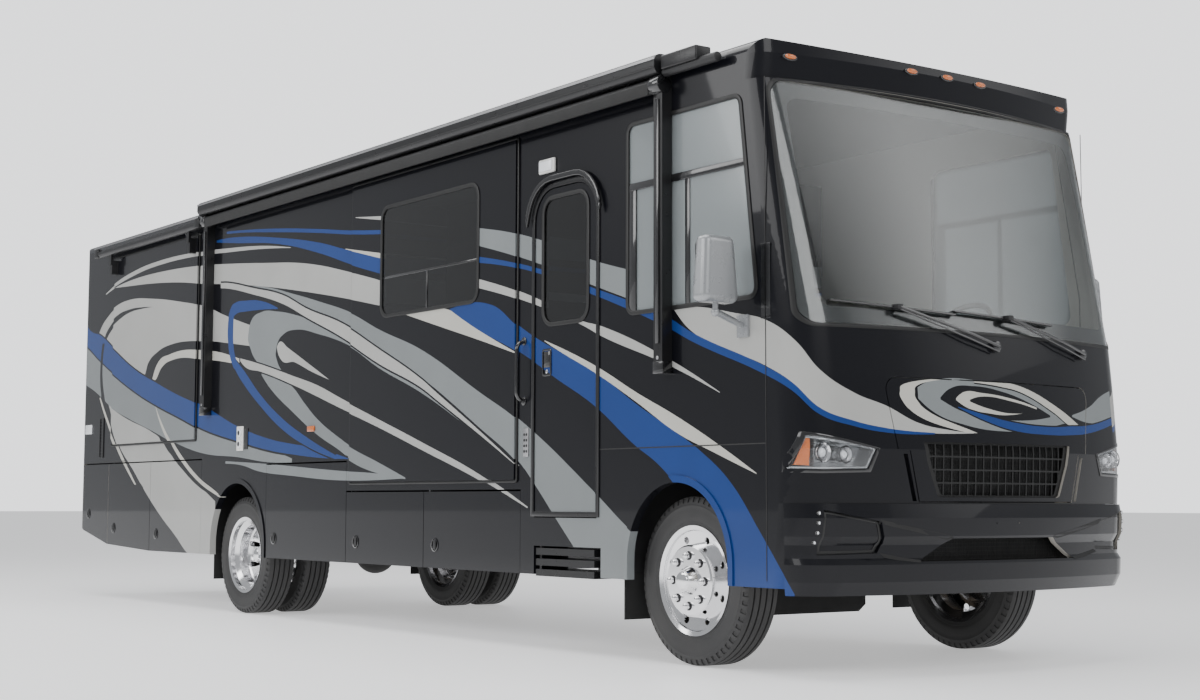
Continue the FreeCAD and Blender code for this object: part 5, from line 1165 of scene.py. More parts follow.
for side, sign in SIDES:
    face = sign * HALF_W
    window_frame(f"cab_window_frame_{side}", -0.46, 0.70, 2.0, 3.12, 0.06, face, lean=0.14)
    pane_bar(f"cab_window_bar_{side}", -0.45, 0.615, 2.722, 2.765, face)
    pane_bar(f"cab_slider_frame_{side}", -0.44, -0.375, 2.01, 2.722, face)
    pane_bar(f"cab_slider_edge_{side}", 0.08, 0.12, 2.01, 2.722, face, proud=0.001)
window_frame("entry_window_frame", -1.34, -0.85, 2.0, 2.80, 0.10, body="entry_door")
window_frame("galley_window_frame", -3.38, -2.07, 2.22, 3.01, 0.09, GALLEY_FACE, "galley_slide")
pane_bar("galley_window_bar", -3.37, -2.08, 2.492, 2.508, GALLEY_FACE, "galley_slide", 0.001)
pane_bar("galley_window_post", -2.748, -2.732, 2.225, 2.492, GALLEY_FACE, "galley_slide", 0.001)
window_frame("sofa_window_frame", -3.30, -2.0, 2.22, 3.01, 0.09, SOFA_FACE, "sofa_slide")
pane_bar("sofa_window_bar", -3.29, -2.01, 2.492, 2.508, SOFA_FACE, "sofa_slide", 0.001)
window_frame("bedroom_window_frame", -8.30, -7.20, 2.10, 2.88, 0.09, -SIDE)
pane_bar("bedroom_window_bar", -8.29, -7.21, 2.41, 2.426, -SIDE, proud=0.001)
window_frame("bath_window_frame", -5.10, -4.50, 2.35, 2.88, 0.09, -SIDE)

# %% [markdown]
# A slide-out room closes against a rubber bulb seal that runs round its opening. The seal stays
# on the wall while the room moves through it, so it rides on the body. Panel joints in the side
# are covered by slim black strips.

# %% Slide seals and panel joints
def slide_seal(name, node, face):
    """A rubber ring on the wall round a slide-out room, no lower than the floor's edge."""
    low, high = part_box(node)
    grow = 0.020
    foot = max(low[2], 1.05)
    piece = wall_ring(name, (low[0] - grow, high[0] + grow), (foot - grow, high[2] + grow), 0.022, face,
                      0.012, grow - 0.004, 0.0125, 0.004, steps=3)
    return settle(piece, SEAL_RUBBER_AND_SHADOW)


slide_seal("galley_seal", "galley_slide", SIDE)
slide_seal("bedroom_seal", "bedroom_slide", SIDE)
slide_seal("sofa_seal", "sofa_slide", -SIDE)


def joint_strip(name, x0, x1, z0, z1, face=SIDE, finish=SEAL_RUBBER_AND_SHADOW):
    """A slim strip over the joint of two panels."""
    piece = wall_block(name, (at(x0), at(x1)), (z0, z1), face, 0.0018, 0.0, 0.0006, 1)
    return settle(piece, finish)


for side, sign in SIDES:
    face = sign * HALF_W
    joint_strip(f"cowl_joint_{side}", 0.757, 0.763, 0.50, 3.18, face)
    joint_strip(f"fender_joint_{side}", -0.75, 0.757, 1.217, 1.223, face)
    joint_strip(f"pillar_trim_{side}", 0.725, 0.80, 1.88, 2.28, face, GLOSS_BLACK)
joint_strip("rear_joint_low", -9.33, -8.20, 1.277, 1.283)
print("slide seals and panel joints set")

# %% [markdown]
# ## The entry door
# The door has a black frame, a gutter that arches over it and keeps rain off the step, a
# flush paddle latch, a long grab handle beside it, a porch lamp above and a small key pad.
# The gutter is the door's arch drawn as a line, pulled outwards and thickened; the grab handle
# is a bent tube with turned-in ends.

# %% Entry door frame and gutter
def door_outline(grow, y, foot=0.82, steps=7):
    """The door's outline with round upper corners only."""
    x0, x1, top, radius = at(-1.42) - grow, at(-0.77) + grow, 2.85 + grow, 0.20 + grow
    points = [(x0, y, foot), (x1, y, foot)]
    for hub_x, first in ((x1 - radius, 0), (x0 + radius, 90)):
        for step in range(steps + 1):
            turn = math.radians(first + 90 * step / steps)
            points.append((hub_x + radius * math.cos(turn), y, top - radius + radius * math.sin(turn)))
    return points


frame_ring = ring("entry_frame", door_outline(0.036, SIDE - 0.009), 0.030, (0, 0.0095, 0), 0.003)
settle(frame_ring, BLACK_ALUMINIUM)
arch = door_outline(0.062, SIDE - 0.014, foot=2.69)
gutter = draw("entry_gutter", arch[1:] + arch[:1], closed=False)
bpy.ops.mesh.extrude_region_move(TRANSFORM_OT_translate={"value": (0, -0.022, 0)})
leave_edit()
shape_by("SOLIDIFY", thickness=0.034, offset=0)
face_outwards()
soften(0.006, 3)
settle(gutter, GLOSS_BLACK)
print("gutter", len(gutter.data.polygons), "faces")


# %% Latch, grab handle, porch lamp and key pad
def cup_latch(name, x, z, face, body, wide, high):
    """A flush paddle latch: a softened rim, a paddle in its upper part and a lock below it."""
    outward = outward_of(face)
    rim = wall_ring(name + "_rim", (x - wide / 2, x + wide / 2), (z - high / 2, z + high / 2), 0.018, face,
                    0.006, 0.012, 0.0063)
    settle(rim, GLOSS_BLACK, body)
    paddle = wall_block(name + "_paddle", (x - wide / 2 + 0.016, x + wide / 2 - 0.016),
                        (z - high * 0.18, z + high / 2 - 0.016), face, 0.0045, -0.001, 0.0015)
    settle(paddle, GLOSS_BLACK, body)
    settle(stud(name + "_lock", (x, face, z - high * 0.33), outward * 0.006, 0.012, edge=0.0015),
           CHROME, body)


cup_latch("entry_latch", at(-1.29), 1.77, SIDE, "entry_door", 0.10, 0.17)
grab_x, grab_y = at(-1.545), SIDE - 0.058
grab = pipe("grab_handle", [(grab_x, SIDE + 0.001, 1.92), (grab_x, grab_y, 1.90), (grab_x, grab_y, 1.56),
                            (grab_x, SIDE + 0.001, 1.54)], 0.013, bend=0.035, sides=4)
settle(grab, GLOSS_BLACK)
for z in (1.92, 1.54):
    settle(stud(f"grab_foot_{z:.2f}", (grab_x, SIDE, z), -0.008, 0.026, 24, 0.003), GLOSS_BLACK)
porch = wall_block("porch_lamp_base", (at(-1.37), at(-1.20)), (2.955, 3.045), SIDE, 0.020, 0.0, 0.008, 3)
settle(porch, WHITE_PLASTIC)
porch_lens = wall_block("porch_lamp_lens", (at(-1.355), at(-1.215)), (2.968, 3.032), SIDE, 0.030, -0.018,
                        0.006, 3)
settle(porch_lens, LED_WHITE)
PAD_PROUD = 0.009
pad = wall_block("entry_key_pad", (at(-1.545), at(-1.487)), (1.19, 1.37), SIDE, PAD_PROUD, 0.0, 0.004, 3)
settle(pad, SATIN_METAL)
for row in range(4):
    for column in range(2):
        spot = (at(-1.529 + column * 0.026), SIDE - PAD_PROUD, 1.225 + row * 0.035)
        settle(stud(f"entry_key_{row}_{column}", spot, -0.002, 0.009, 16, 0.0006), BLACK_PLASTIC)
print("entry door dressed")

# %% [markdown]
# ## Bay latches and small side fittings
# Every luggage door has a round cup with a black paddle that a finger pulls, near its lower
# rear corner and riding on the door. The power inlet with its two screw caps, side markers, a
# side lamp and the vents of the furnace and the fridge finish the walls.

# %% Bay latches
LATCH_IN, LATCH_UP = 0.150, 0.155
REAR_DOOR_RISE = {"right_bay_door_1": 0.127, "right_bay_door_2": 0.040, "left_bay_door_1": 0.167}


def bay_latch(name, x, z, face, body):
    """A round cup let into the door, with a paddle across it."""
    outward = outward_of(face)
    cup = [(0.047, 0.002), (0.047, 0.004), (0.040, 0.005), (0.037, 0.001), (0.036, -0.007), (0.0, -0.008),
           (0.0, -0.0085), (0.041, -0.0085), (0.041, 0.0), (0.047, 0.0)]
    rim = lathe(name + "_cup", [(radius, outward * step) for radius, step in cup], (x, face, z), 32)
    settle(rim, GLOSS_BLACK, body)
    paddle = wall_block(name + "_paddle", (x - 0.017, x + 0.017), (z - 0.030, z + 0.034), face, 0.006,
                        0.004, 0.004, 3)
    return settle(paddle, BLACK_PLASTIC, body)


for side, sign in SIDES:
    nodes = [node for node in frame["nodes"] if node.startswith(f"{side}_bay_door_")]
    for node in sorted(nodes):
        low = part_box(node)[0]
        bay_latch(f"bay_latch_{side}_{node[-1]}", low[0] + LATCH_IN,
                  low[2] + REAR_DOOR_RISE.get(node, 0.0) + LATCH_UP, sign * HALF_W, node)
    print(side, "bay latches", len(nodes))


# %% Power inlet, lamps and vent
def louvre_panel(name, x, z, face, slats):
    """A frame with level slats between two X and two heights."""
    pieces = [wall_ring(name + "_frame", x, z, 0.008, face, 0.008, 0.010, 0.0085, steps=3)]
    for i in range(slats):
        level = z[0] + 0.010 + (z[1] - z[0] - 0.020) * (i + 0.5) / slats
        pieces.append(wall_block(name, (x[0] + 0.009, x[1] - 0.009), (level - 0.004, level + 0.003), face,
                                 0.006, 0.0, 0.001, 1))
    return join(name, pieces)


INLET_PROUD = 0.012
inlet = wall_block("power_inlet", (at(-5.80), at(-5.68)), (1.32, 1.52), SIDE, INLET_PROUD, 0.0, 0.006, 3)
settle(inlet, WHITE_PLASTIC)
for z in (1.465, 1.375):
    start = (at(-5.74), SIDE - INLET_PROUD, z)
    settle(stud(f"inlet_cap_{z:.2f}", start, -0.010, 0.036, 28, 0.003), LED_WHITE)
    settle(stud(f"inlet_socket_{z:.2f}", start, -0.0112, 0.020, 24, 0.001), BLACK_PLASTIC)
hatch = wall_block("inlet_side_cover", (at(-5.675), at(-5.60)), (1.33, 1.50), SIDE, 0.006)
settle(hatch, BLACK_PLASTIC)
marker = wall_block("side_marker", (at(-4.525), at(-4.415)), (1.438, 1.482), SIDE, 0.016, 0.0, 0.007, 3)
settle(marker, AMBER_LENS)
settle(copied(marker, "side_marker_left", mirror=True), AMBER_LENS)
side_lamp = wall_block("side_lamp", (at(-9.30), at(-9.13)), (1.555, 1.645), SIDE, 0.014, 0.0, 0.008, 3)
settle(side_lamp, LED_WHITE)
for name, x, z, face in (("furnace_vent", (at(-8.925), at(-8.825)), (1.32, 1.70), SIDE),
                         ("fridge_vent", (at(-6.10), at(-5.55)), (1.45, 1.85), -SIDE)):
    settle(louvre_panel(name, x, z, face, 12), BLACK_PLASTIC)
print("side fittings set")

# %% [markdown]
# ## Awnings
# The patio awning is rolled up under its case: a roller with end caps, a bright drip edge along
# the case, and two folding arms, each with pivot bolts and a rail. The small topper over
# the bedroom room has its own light edge, brackets and a brace.

# %% Patio awning hardware
CASE_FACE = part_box("patio_awning")[0][1]
roller_y, roller_z = SIDE - 0.058, 3.283
LONG = 6.210
roller_end = [(0.0, 0.0), (0.040, 0.0), (0.046, 0.004), (0.046, 0.010), (0.043, 0.012)]
roller = lathe("awning_roller", roller_end + [(radius, LONG - step) for radius, step in reversed(roller_end)],
               (at(-6.335), roller_y, roller_z), 28, axis="X")
settle(roller, BLACK_PLASTIC)
for name, z, high, finish in (("awning_drip_edge", 3.418, 0.014, SATIN_METAL),
                              ("awning_case_step", 3.372, 0.005, SEAL_RUBBER_AND_SHADOW)):
    strip = wall_block(name, (at(-6.45), at(-0.05)), (z, z + high), CASE_FACE, 0.0025, 0.004, 0.001, 1)
    settle(strip, finish)
hem = block("awning_hem", (at(-6.33), roller_y - 0.047, roller_z - 0.058),
            (at(-0.13), roller_y - 0.040, roller_z + 0.01), 0.002, 2)
settle(hem, FLAP_RUBBER)
ARM_FACE = SIDE - 0.070
ARM_HALF = 0.046
for i, station in enumerate((-6.38, -0.08)):
    x = at(station)
    for z in (1.72, 2.35, 2.95, 3.26):
        settle(stud(f"awning_bolt_{i}_{z}", (x, ARM_FACE, z), -0.006, 0.011, 12, 0.002), SATIN_METAL)
    rail = wall_block(f"awning_arm_rail_{i}", (x - 0.014, x + 0.014), (1.80, 3.20), ARM_FACE, 0.010)
    settle(rail, GLOSS_BLACK)
    foot = block(f"awning_arm_foot_{i}", (x - ARM_HALF, ARM_FACE - 0.004, 1.63), (x + ARM_HALF, SIDE, 1.70),
                 0.006, 3)
    settle(foot, GLOSS_BLACK)
    knuckle = rod(f"awning_knuckle_{i}", (x - ARM_HALF, roller_y, roller_z),
                  (x + ARM_HALF, roller_y, roller_z), 0.055, 28, 0.006)
    settle(knuckle, GLOSS_BLACK)

# %% Awning brackets and the topper
bracket = wall_block("awning_front_bracket", (at(-0.02), at(0.30)), (3.352, 3.435), SIDE, 0.10, 0.012,
                     0.010, 3)
settle(bracket, BLACK_ALUMINIUM)
motor = rod("awning_motor", (at(-0.03), SIDE - 0.055, 3.345), (at(0.44), SIDE - 0.055, 3.345), 0.028, 24,
            0.006)
settle(motor, BLACK_PLASTIC)
topper_low, topper_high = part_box("slide_topper")
topper_edge = wall_block("topper_edge", (topper_low[0], topper_high[0]), (3.318, 3.334), topper_low[1],
                         0.001, 0.020, 0.002)
settle(topper_edge, SATIN_METAL, "bedroom_slide")
for i, station in enumerate((-8.85, -6.48)):
    arm = wall_block(f"topper_bracket_{i}", (at(station) - 0.05, at(station) + 0.05), (3.235, 3.315),
                     topper_low[1], 0.002, 0.045, 0.010, 3)
    settle(arm, BLACK_ALUMINIUM, "bedroom_slide")
brace = pipe("topper_brace", [(at(-6.92), GALLEY_FACE - 0.035, 3.30), (at(-6.70), GALLEY_FACE - 0.030, 3.15)],
             0.012)
settle(brace, GLOSS_BLACK, "bedroom_slide")
print("awning hardware set")

# %% [markdown]
# ## The nose
# Pieces on the moulded nose have to follow its double curve. A flat face or band is drawn in
# front of the nose from closely spaced points, pushed back onto the shell with a Shrinkwrap
# modifier along X, and then thickened. Round lamps are set where a line of sight meets the
# shell, so they sit on it whatever its slope.

# %% Follow the shell
AHEAD = NOSE + 0.4


def wrap_on(piece, node, offset, thick, edge=0.0):
    """Presses a flat piece drawn ahead of the nose back onto a node, then thickens it inwards."""
    pick_only(piece)
    shape_by("SHRINKWRAP", wrap_method="PROJECT", target=frame["nodes"][node], use_project_x=True,
             use_project_y=False, use_project_z=False, use_negative_direction=True,
             use_positive_direction=False)
    shape_by("SOLIDIFY", thickness=thick, offset=-1)
    edit()
    bpy.ops.transform.translate(value=(offset, 0, 0))
    leave_edit()
    face_outwards()
    if edge:
        soften(edge, 2, 50)


def face_the_front(piece):
    """Turns a flat drawing so that its front looks ahead."""
    edit()
    shell = bmesh.from_edit_mesh(piece.data)
    if sum(face.normal.x for face in shell.faces) < 0:
        bpy.ops.mesh.flip_normals()
    leave_edit()
    return piece


def patch(name, outline):
    """A flat face drawn ahead of the nose."""
    piece = draw(name, [(AHEAD, y, z) for y, z in outline])
    leave_edit()
    return face_the_front(piece)


def band(name, outer, inner):
    """A flat band between two outlines with as many points, drawn ahead of the nose."""
    rims = []
    for label, outline in ((name, outer), (name + "_in", inner)):
        rims.append(draw(label, [(AHEAD, y, z) for y, z in outline]))
        bpy.ops.mesh.delete(type="ONLY_FACE")
        leave_edit()
    piece = join(name, rims)
    edit()
    bpy.ops.mesh.bridge_edge_loops()
    leave_edit()
    return face_the_front(piece)


def spaced(points, step):
    """A closed outline with points no further apart than a step."""
    dense = []
    for (y0, z0), (y1, z1) in zip(points, points[1:] + points[:1]):
        parts = max(1, math.ceil(math.dist((y0, z0), (y1, z1)) / step))
        dense += [(y0 + (y1 - y0) * i / parts, z0 + (z1 - z0) * i / parts) for i in range(parts)]
    return dense


def shrunk(points, width):
    """The outline drawn in by about a width, point for point."""
    spans = [(min(values), max(values)) for values in zip(*points)]
    middles = [(low + high) / 2 for low, high in spans]
    shares = [1 - 2 * width / (high - low) for low, high in spans]
    return [tuple(mid + (value - mid) * share for value, mid, share in zip(point, middles, shares))
            for point in points]


print("nose pieces are drawn at X", round(AHEAD, 3))

# %% [markdown]
# The windscreen is glued in behind a broad black ceramic border that is printed on the inside of
# the glass and hides the glue, with a rubber bead round its edge. The border sits just behind
# the pane.

# %% Windscreen border and bead
def screen_outline(grow):
    """The windscreen's outline, grown; it narrows a little towards the top."""
    low, high, half_low, half_high = 1.842 - grow, 3.178 + grow, 1.240 + grow, 1.228 + grow
    flat = rounded(-half_low, half_low, low, high, 0.09, steps=6)
    return [(y * (half_low + (half_high - half_low) * (z - low) / (high - low)) / half_low, z)
            for y, _, z in flat]


def screen_band(name, grow, step, width, node, offset, thick, edge, finish):
    """A band round the windscreen, pressed onto a node."""
    outer = spaced(screen_outline(grow), step)
    piece = band(name, outer, shrunk(outer, width))
    wrap_on(piece, node, offset, thick, edge)
    settle(piece, finish)
    print(name, len(piece.data.polygons), "faces")


screen_band("windscreen_border", -0.006, 0.06, 0.085, "windscreen", -0.0125, 0.002, 0.0, BLACK_PLASTIC)
screen_band("windscreen_bead", 0.020, 0.05, 0.017, "front_cap", 0.003, 0.006, 0.001, SEAL_RUBBER_AND_SHADOW)

# %% [markdown]
# Two long pantograph wipers park across the foot of the windscreen. Each has a black pivot
# housing, a bent arm with its parallel link, a clip, and a blade made of a spine and a rubber.

# %% Wipers
def screen_point(y, z, off):
    """A point this far ahead of the windscreen."""
    return from_ahead("windscreen", y, z) + Vector((off, 0, 0))


def wiper(name, pivot_y, blade_from, blade_to):
    """One wiper, parked; the blade's ends are (left of the middle line, height)."""
    blade = [(blade_from[0] + (blade_to[0] - blade_from[0]) * i / 8,
              blade_from[1] + (blade_to[1] - blade_from[1]) * i / 8) for i in range(9)]
    cowl = from_ahead("front_cap", pivot_y, 1.765)
    housing = lathe(name + "_pivot", [(0.0, -0.004), (0.030, -0.004), (0.034, 0.010), (0.028, 0.030),
                                      (0.0, 0.038)], cowl, 24, axis="X")
    settle(housing, GLOSS_BLACK)
    head = cowl + Vector((0.040, 0, 0))
    grip = screen_point(*blade[4], 0.055)
    elbow = head.lerp(grip, 0.3) + Vector((0.020, 0, 0.0))
    settle(pipe(name + "_arm", [head, elbow, grip], 0.0085, bend=0.03), GLOSS_BLACK)
    drop = Vector((0.0, 0.0, 0.030))
    link = pipe(name + "_link", [head - drop, elbow - drop, grip - drop * 0.4], 0.005, bend=0.03)
    settle(link, GLOSS_BLACK)
    clip = block(name + "_clip", grip - Vector((0.045, 0.020, 0.014)), grip + Vector((0.008, 0.020, 0.014)))
    settle(clip, BLACK_PLASTIC)
    for part, off, radius, finish in (("spine", 0.024, 0.0065, GLOSS_BLACK),
                                      ("rubber", 0.009, 0.0055, SEAL_RUBBER_AND_SHADOW)):
        strip = pipe(f"{name}_{part}", [screen_point(y, z, off) for y, z in blade], radius)
        settle(strip, finish)


wiper("wiper_right", -0.02, (-1.10, 1.965), (-0.30, 1.925))
wiper("wiper_left", 0.78, (-0.30, 1.945), (0.50, 1.915))
print("wipers parked")

# %% [markdown]
# Five amber clearance lamps on the brow mark the coach's height and width: three close together
# in the middle and one near each corner. Each is a softened oval base with a domed lens.

# %% Clearance lamps
def clearance_lamp(name, y, z):
    """A base and a domed lens, the lens cut flat where it meets the brow."""
    spot = from_ahead("front_cap", y, z)
    base = begin("cylinder", name + "_base", vertices=32, radius=1, depth=1, location=spot,
                 rotation=(0, math.pi / 2, 0), scale=(0.020, 0.052, 0.024))
    soften(0.006, 3, 40)
    settle(base, GLOSS_BLACK)
    lens = begin("uv_sphere", name, segments=24, ring_count=12, radius=1,
                 location=spot + Vector((0.006, 0, 0.002)), scale=(0.018, 0.044, 0.015))
    edit()
    bpy.ops.mesh.bisect(plane_co=spot, plane_no=(1, 0, 0), clear_inner=True, use_fill=True)
    leave_edit()
    settle(lens, AMBER_LENS)


LAMP_SPOTS = ((0.0, 3.332), (-0.28, 3.33), (0.28, 3.33), (-1.10, 3.312), (1.10, 3.312))
for i, (y, z) in enumerate(LAMP_SPOTS):
    clearance_lamp(f"clearance_lamp_{i}", y, z)
print("clearance lamps", len(LAMP_SPOTS))

# %% [markdown]
# ## Headlamps
# Behind each clear cover are two lamps: a metal hoop round a domed lens, in a bright turned
# bowl. An amber strip at the outer end is the indicator. A black surround frames the cover on
# the nose.

# %% Headlamps
LAMP_COVER = [(0.885, 1.188), (1.165, 1.242), (1.242, 1.256), (1.286, 1.086), (1.180, 1.082), (0.935, 1.088)]
BOWLS = ((1.160, 1.168, 0.050), (1.045, 1.158, 0.044))
INDICATOR = [(1.222, 1.240), (1.240, 1.244), (1.268, 1.105), (1.225, 1.100)]
SURROUND_HALF = 1.2885


def lamp_turnings(radius):
    """The bowl, its lens and its hoop: (name, section, steps, finish, slot) by the bowl's radius."""
    bowl = [(1.0, 0.0), (1.0, -0.004), (0.80, -0.018), (0.55, -0.036), (0.0, -0.040), (0.0, -0.044),
            (0.6, -0.040), (0.9, -0.020), (1.06, -0.004), (1.06, 0.0)]
    lens = [(0.0, -0.004), (0.34, -0.008), (0.52, -0.018), (0.56, -0.030), (0.0, -0.031)]
    hoop = [(0.58, -0.012), (0.66, -0.012), (0.66, -0.030), (0.58, -0.030), (0.58, -0.012)]
    rows = (("bowl", bowl, 40, CHROME, "lamp_housing"), ("lens", lens, 32, LED_WHITE, "lamp_glass"),
            ("hoop", hoop, 32, SATIN_METAL, "lamp_housing"))
    return [(name, [(radius * share, step) for share, step in section], steps, finish, slot)
            for name, section, steps, finish, slot in rows]


def headlamp(side, sign):
    """The surround, two lamps and the indicator of one headlamp."""
    outer = spaced([(sign * y, z) for y, z in LAMP_COVER], 0.03)
    grown = [(max(-SURROUND_HALF, min(SURROUND_HALF, y)), z) for y, z in shrunk(outer, -0.022)]
    surround = band(f"lamp_surround_{side}", grown, shrunk(outer, -0.001))
    wrap_on(surround, "front_cap", 0.004, 0.007, 0.001)
    settle(surround, GLOSS_BLACK)
    for i, (y, z, radius) in enumerate(BOWLS):
        front = from_ahead("headlights", sign * y, z).x - 0.022
        for name, section, steps, finish, slot in lamp_turnings(radius):
            piece = lathe(f"lamp_{name}_{side}_{i}", section, (front, sign * y, z), steps, axis="X")
            settle(piece, finish, "root")
    strip = patch(f"indicator_{side}", spaced([(sign * y, z) for y, z in INDICATOR], 0.02))
    wrap_on(strip, "headlights", -0.011, 0.006)
    settle(strip, AMBER_LENS)


for side, sign in SIDES:
    headlamp(side, sign)
print("headlamps dressed")

# %% [markdown]
# ## Bumper and grille
# A fine black mesh stands in the bumper's mouth and behind the grille, with a dark lining
# behind each. Wire mesh repeats one thin wire: an upright is made once and repeated across,
# then a level one upwards. A near-black band round each pocket is painted shadow of its recess.
# A row of four daytime lamps stands outside each pocket, two black strips run inwards from it
# as painted shadows of the recess steps, and a rubber splash curtain hangs behind the front wheels.

# %% Meshes behind the openings
WIRE = 0.0016
PITCH = 0.020
GRILLE_EDGE = 0.012


def wire_rows(name, place, length, step, count, **turn):
    """One thin wire, repeated by a step."""
    wire = begin("cylinder", name, vertices=6, radius=WIRE, depth=length, location=place, **turn)
    shape_by("ARRAY", use_relative_offset=False, use_constant_offset=True,
             constant_offset_displace=step, count=count)
    return wire


def mesh_screen(name, y, z, x, body="root"):
    """A sheet of crossed wires standing at X between two Y and two heights."""
    wide, high = y[1] - y[0], z[1] - z[0]
    columns, levels = int(wide / PITCH), max(2, int(high / PITCH))
    upright = wire_rows(name, (x, y[0], (z[0] + z[1]) / 2), high, (0, wide / columns, 0), columns + 1)
    across = wire_rows(name + "_across", (x, (y[0] + y[1]) / 2, z[0]), wide, (0, 0, high / levels),
                       levels + 1, rotation=(math.pi / 2, 0, 0))
    return settle(join(name, [upright, across]), MESH_AND_SHADOW_BLACK, body)


grille_low, grille_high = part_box("grille")
grille_y = (grille_low[1] + GRILLE_EDGE, grille_high[1] - GRILLE_EDGE)
grille_z = (grille_low[2] + GRILLE_EDGE, grille_high[2] - GRILLE_EDGE)
mesh_screen("grille_screen", grille_y, grille_z, grille_low[0] - 0.006, "hood")
backing = block("grille_backing", (grille_low[0] - 0.020, grille_y[0], grille_low[2] + 0.010),
                (grille_low[0] - 0.012, grille_y[1], grille_z[1]), 0.003)
settle(backing, MESH_AND_SHADOW_BLACK, "hood")
mesh_screen("bumper_screen", (-0.64, 0.64), (0.590, 0.736), NOSE - 0.135)
lining = block("bumper_lining", (NOSE - 0.165, -0.66, 0.584), (NOSE - 0.150, 0.66, 0.742), 0.003)
settle(lining, MESH_AND_SHADOW_BLACK)
print("meshes set")

# %% Pocket shadow bands, daytime lamps, painted shadow strips and the splash curtain
POCKET = [(1.183, 0.870), (0.874, 0.811), (0.845, 0.700), (0.874, 0.650), (1.197, 0.642)]
# Two near-black strips a side, painted shadows of the bumper's recess steps, as (left of the middle line,
# height).
RECESS_SHADOW_LINES = {"upper": [(0.884, 0.824), (0.876, 0.800), (0.640, 0.754), (0.440, 0.716), (0.398, 0.724),
                     (0.410, 0.736), (0.640, 0.776)],
           "lower": [(0.880, 0.654), (0.880, 0.634), (0.740, 0.610), (0.610, 0.597), (0.606, 0.610),
                     (0.740, 0.630)]}
DAY_HOOP = [(0.0, -0.004), (0.013, -0.004), (0.013, 0.002), (0.010, 0.004), (0.0, 0.0035)]
DAY_LENS = [(0.0, 0.0), (0.0075, 0.0), (0.0075, 0.0045), (0.004, 0.0065), (0.0, 0.007)]
for side, sign in SIDES:
    # A near-black band round the inside of each pocket: painted shadow of its recess.
    outer = spaced(shrunk([(sign * y, z) for y, z in POCKET], 0.002), 0.03)
    shadow_band = band(f"pocket_trim_{side}", outer, shrunk(outer, 0.016))
    wrap_on(shadow_band, "front_bumper", 0.004, 0.005, 0.001)
    settle(shadow_band, SEAL_RUBBER_AND_SHADOW)
    for i, z in enumerate((0.856, 0.806, 0.755, 0.705)):
        spot = from_ahead("front_bumper", sign * (1.205 + 0.003 * i), z)
        settle(lathe(f"day_lamp_ring_{side}_{i}", DAY_HOOP, spot, 20, axis="X"), GLOSS_BLACK)
        lens = lathe(f"day_lamp_{side}_{i}", DAY_LENS, spot, 20, axis="X")
        settle(lens, LED_WHITE)
    # Painted shadow: a near-black strip along each recess step, pressed onto the bumper.
    for level, line in RECESS_SHADOW_LINES.items():
        crease_or_shadow = patch(f"bumper_recess_shadow_{level}_{side}", spaced([(sign * y, z) for y, z in line], 0.03))
        wrap_on(crease_or_shadow, "front_bumper", 0.0015, 0.004)
        settle(crease_or_shadow, MESH_AND_SHADOW_BLACK)
CURTAIN = [(-0.72, 0.56), (0.72, 0.56), (0.72, 0.26), (0.66, 0.215), (-0.66, 0.215), (-0.72, 0.26)]
curtain = plate("splash_curtain", [(at(-0.575), y, z) for y, z in CURTAIN], (-0.008, 0, 0), 0.002)
settle(curtain, FLAP_RUBBER)
print("bumper dressed")

# %% [markdown]
# ## Mirrors
# Each mirror head has two glasses in its rear face, a flat one above and a small wide-angle one
# below, each with a thin black frame.

# %% Mirror glasses
MIRROR_Y = 1.5


def mirror_glass(side, sign):
    """The flat glass above and the wide one below, seen where they meet the head from behind."""
    hub_y = sign * MIRROR_Y
    for name, z0, z1, half in (("flat", 2.10, 2.285, 0.082), ("wide", 1.99, 2.08, 0.090)):
        x = touch("mirrors", (at(-0.5), hub_y, (z0 + z1) / 2), (1, 0, 0)).x
        outline = [(x - 0.004, hub_y + y, z) for y, _, z in rounded(-half, half, z0, z1, 0.018)]
        settle(plate(f"mirror_{name}_{side}", outline, (0.006, 0, 0)), MIRROR_FACE)
        rim_line = rounded(-half - 0.006, half + 0.006, z0 - 0.006, z1 + 0.006, 0.022)
        rim = ring(f"mirror_{name}_frame_{side}", [(x - 0.006, hub_y + y, z) for y, _, z in rim_line],
                   0.007, (0.009, 0, 0), 0.0015)
        settle(rim, SEAL_RUBBER_AND_SHADOW)


for side, sign in SIDES:
    mirror_glass(side, sign)
print("mirror glasses set")

# %% [markdown]
# ## Tail lamps and plate light
# Each tail lamp is one tall red panel in a black bezel, with an amber indicator and a pale
# reversing lamp in it. A small lamp shines on the blank plate.

# %% Tail lamps
TAIL_LAMP_Y = 1.080
LENS_SECTION = [(0.0, 0.0), (0.045, 0.0), (0.052, 0.004), (0.052, 0.010), (0.0, 0.010)]
for side, sign in SIDES:
    mid_y = sign * TAIL_LAMP_Y
    outline = [(TAIL, mid_y + y, z) for y, _, z in rounded(-0.076, 0.076, 1.074, 1.566, 0.02)]
    bezel = ring(f"tail_lamp_bezel_{side}", outline, 0.010, (0.016, 0, 0), 0.003)
    settle(bezel, GLOSS_BLACK)
    for name, z, finish in (("indicator", 1.46, AMBER_LENS), ("reverse", 1.16, LED_WHITE)):
        lens = lathe(f"tail_{name}_{side}", LENS_SECTION, (TAIL + 0.0005, mid_y, z), 32, axis="X")
        settle(lens, finish)
plate_x = touch("rear_cap", (TAIL - 1, 0, 0.98), (1, 0, 0)).x
plate_lamp = block("plate_lamp", (plate_x, -0.05, 0.988), (plate_x + 0.012, 0.05, 1.006), 0.003)
settle(plate_lamp, GLOSS_BLACK)
print("tail lamps set")

# %% [markdown]
# ## Roof units
# The air conditioners have moulded shrouds with cooling slots along both sides. Each slot is a
# thin near-black bar on the shroud's sloping side: painted shade for the slot's dark inside.

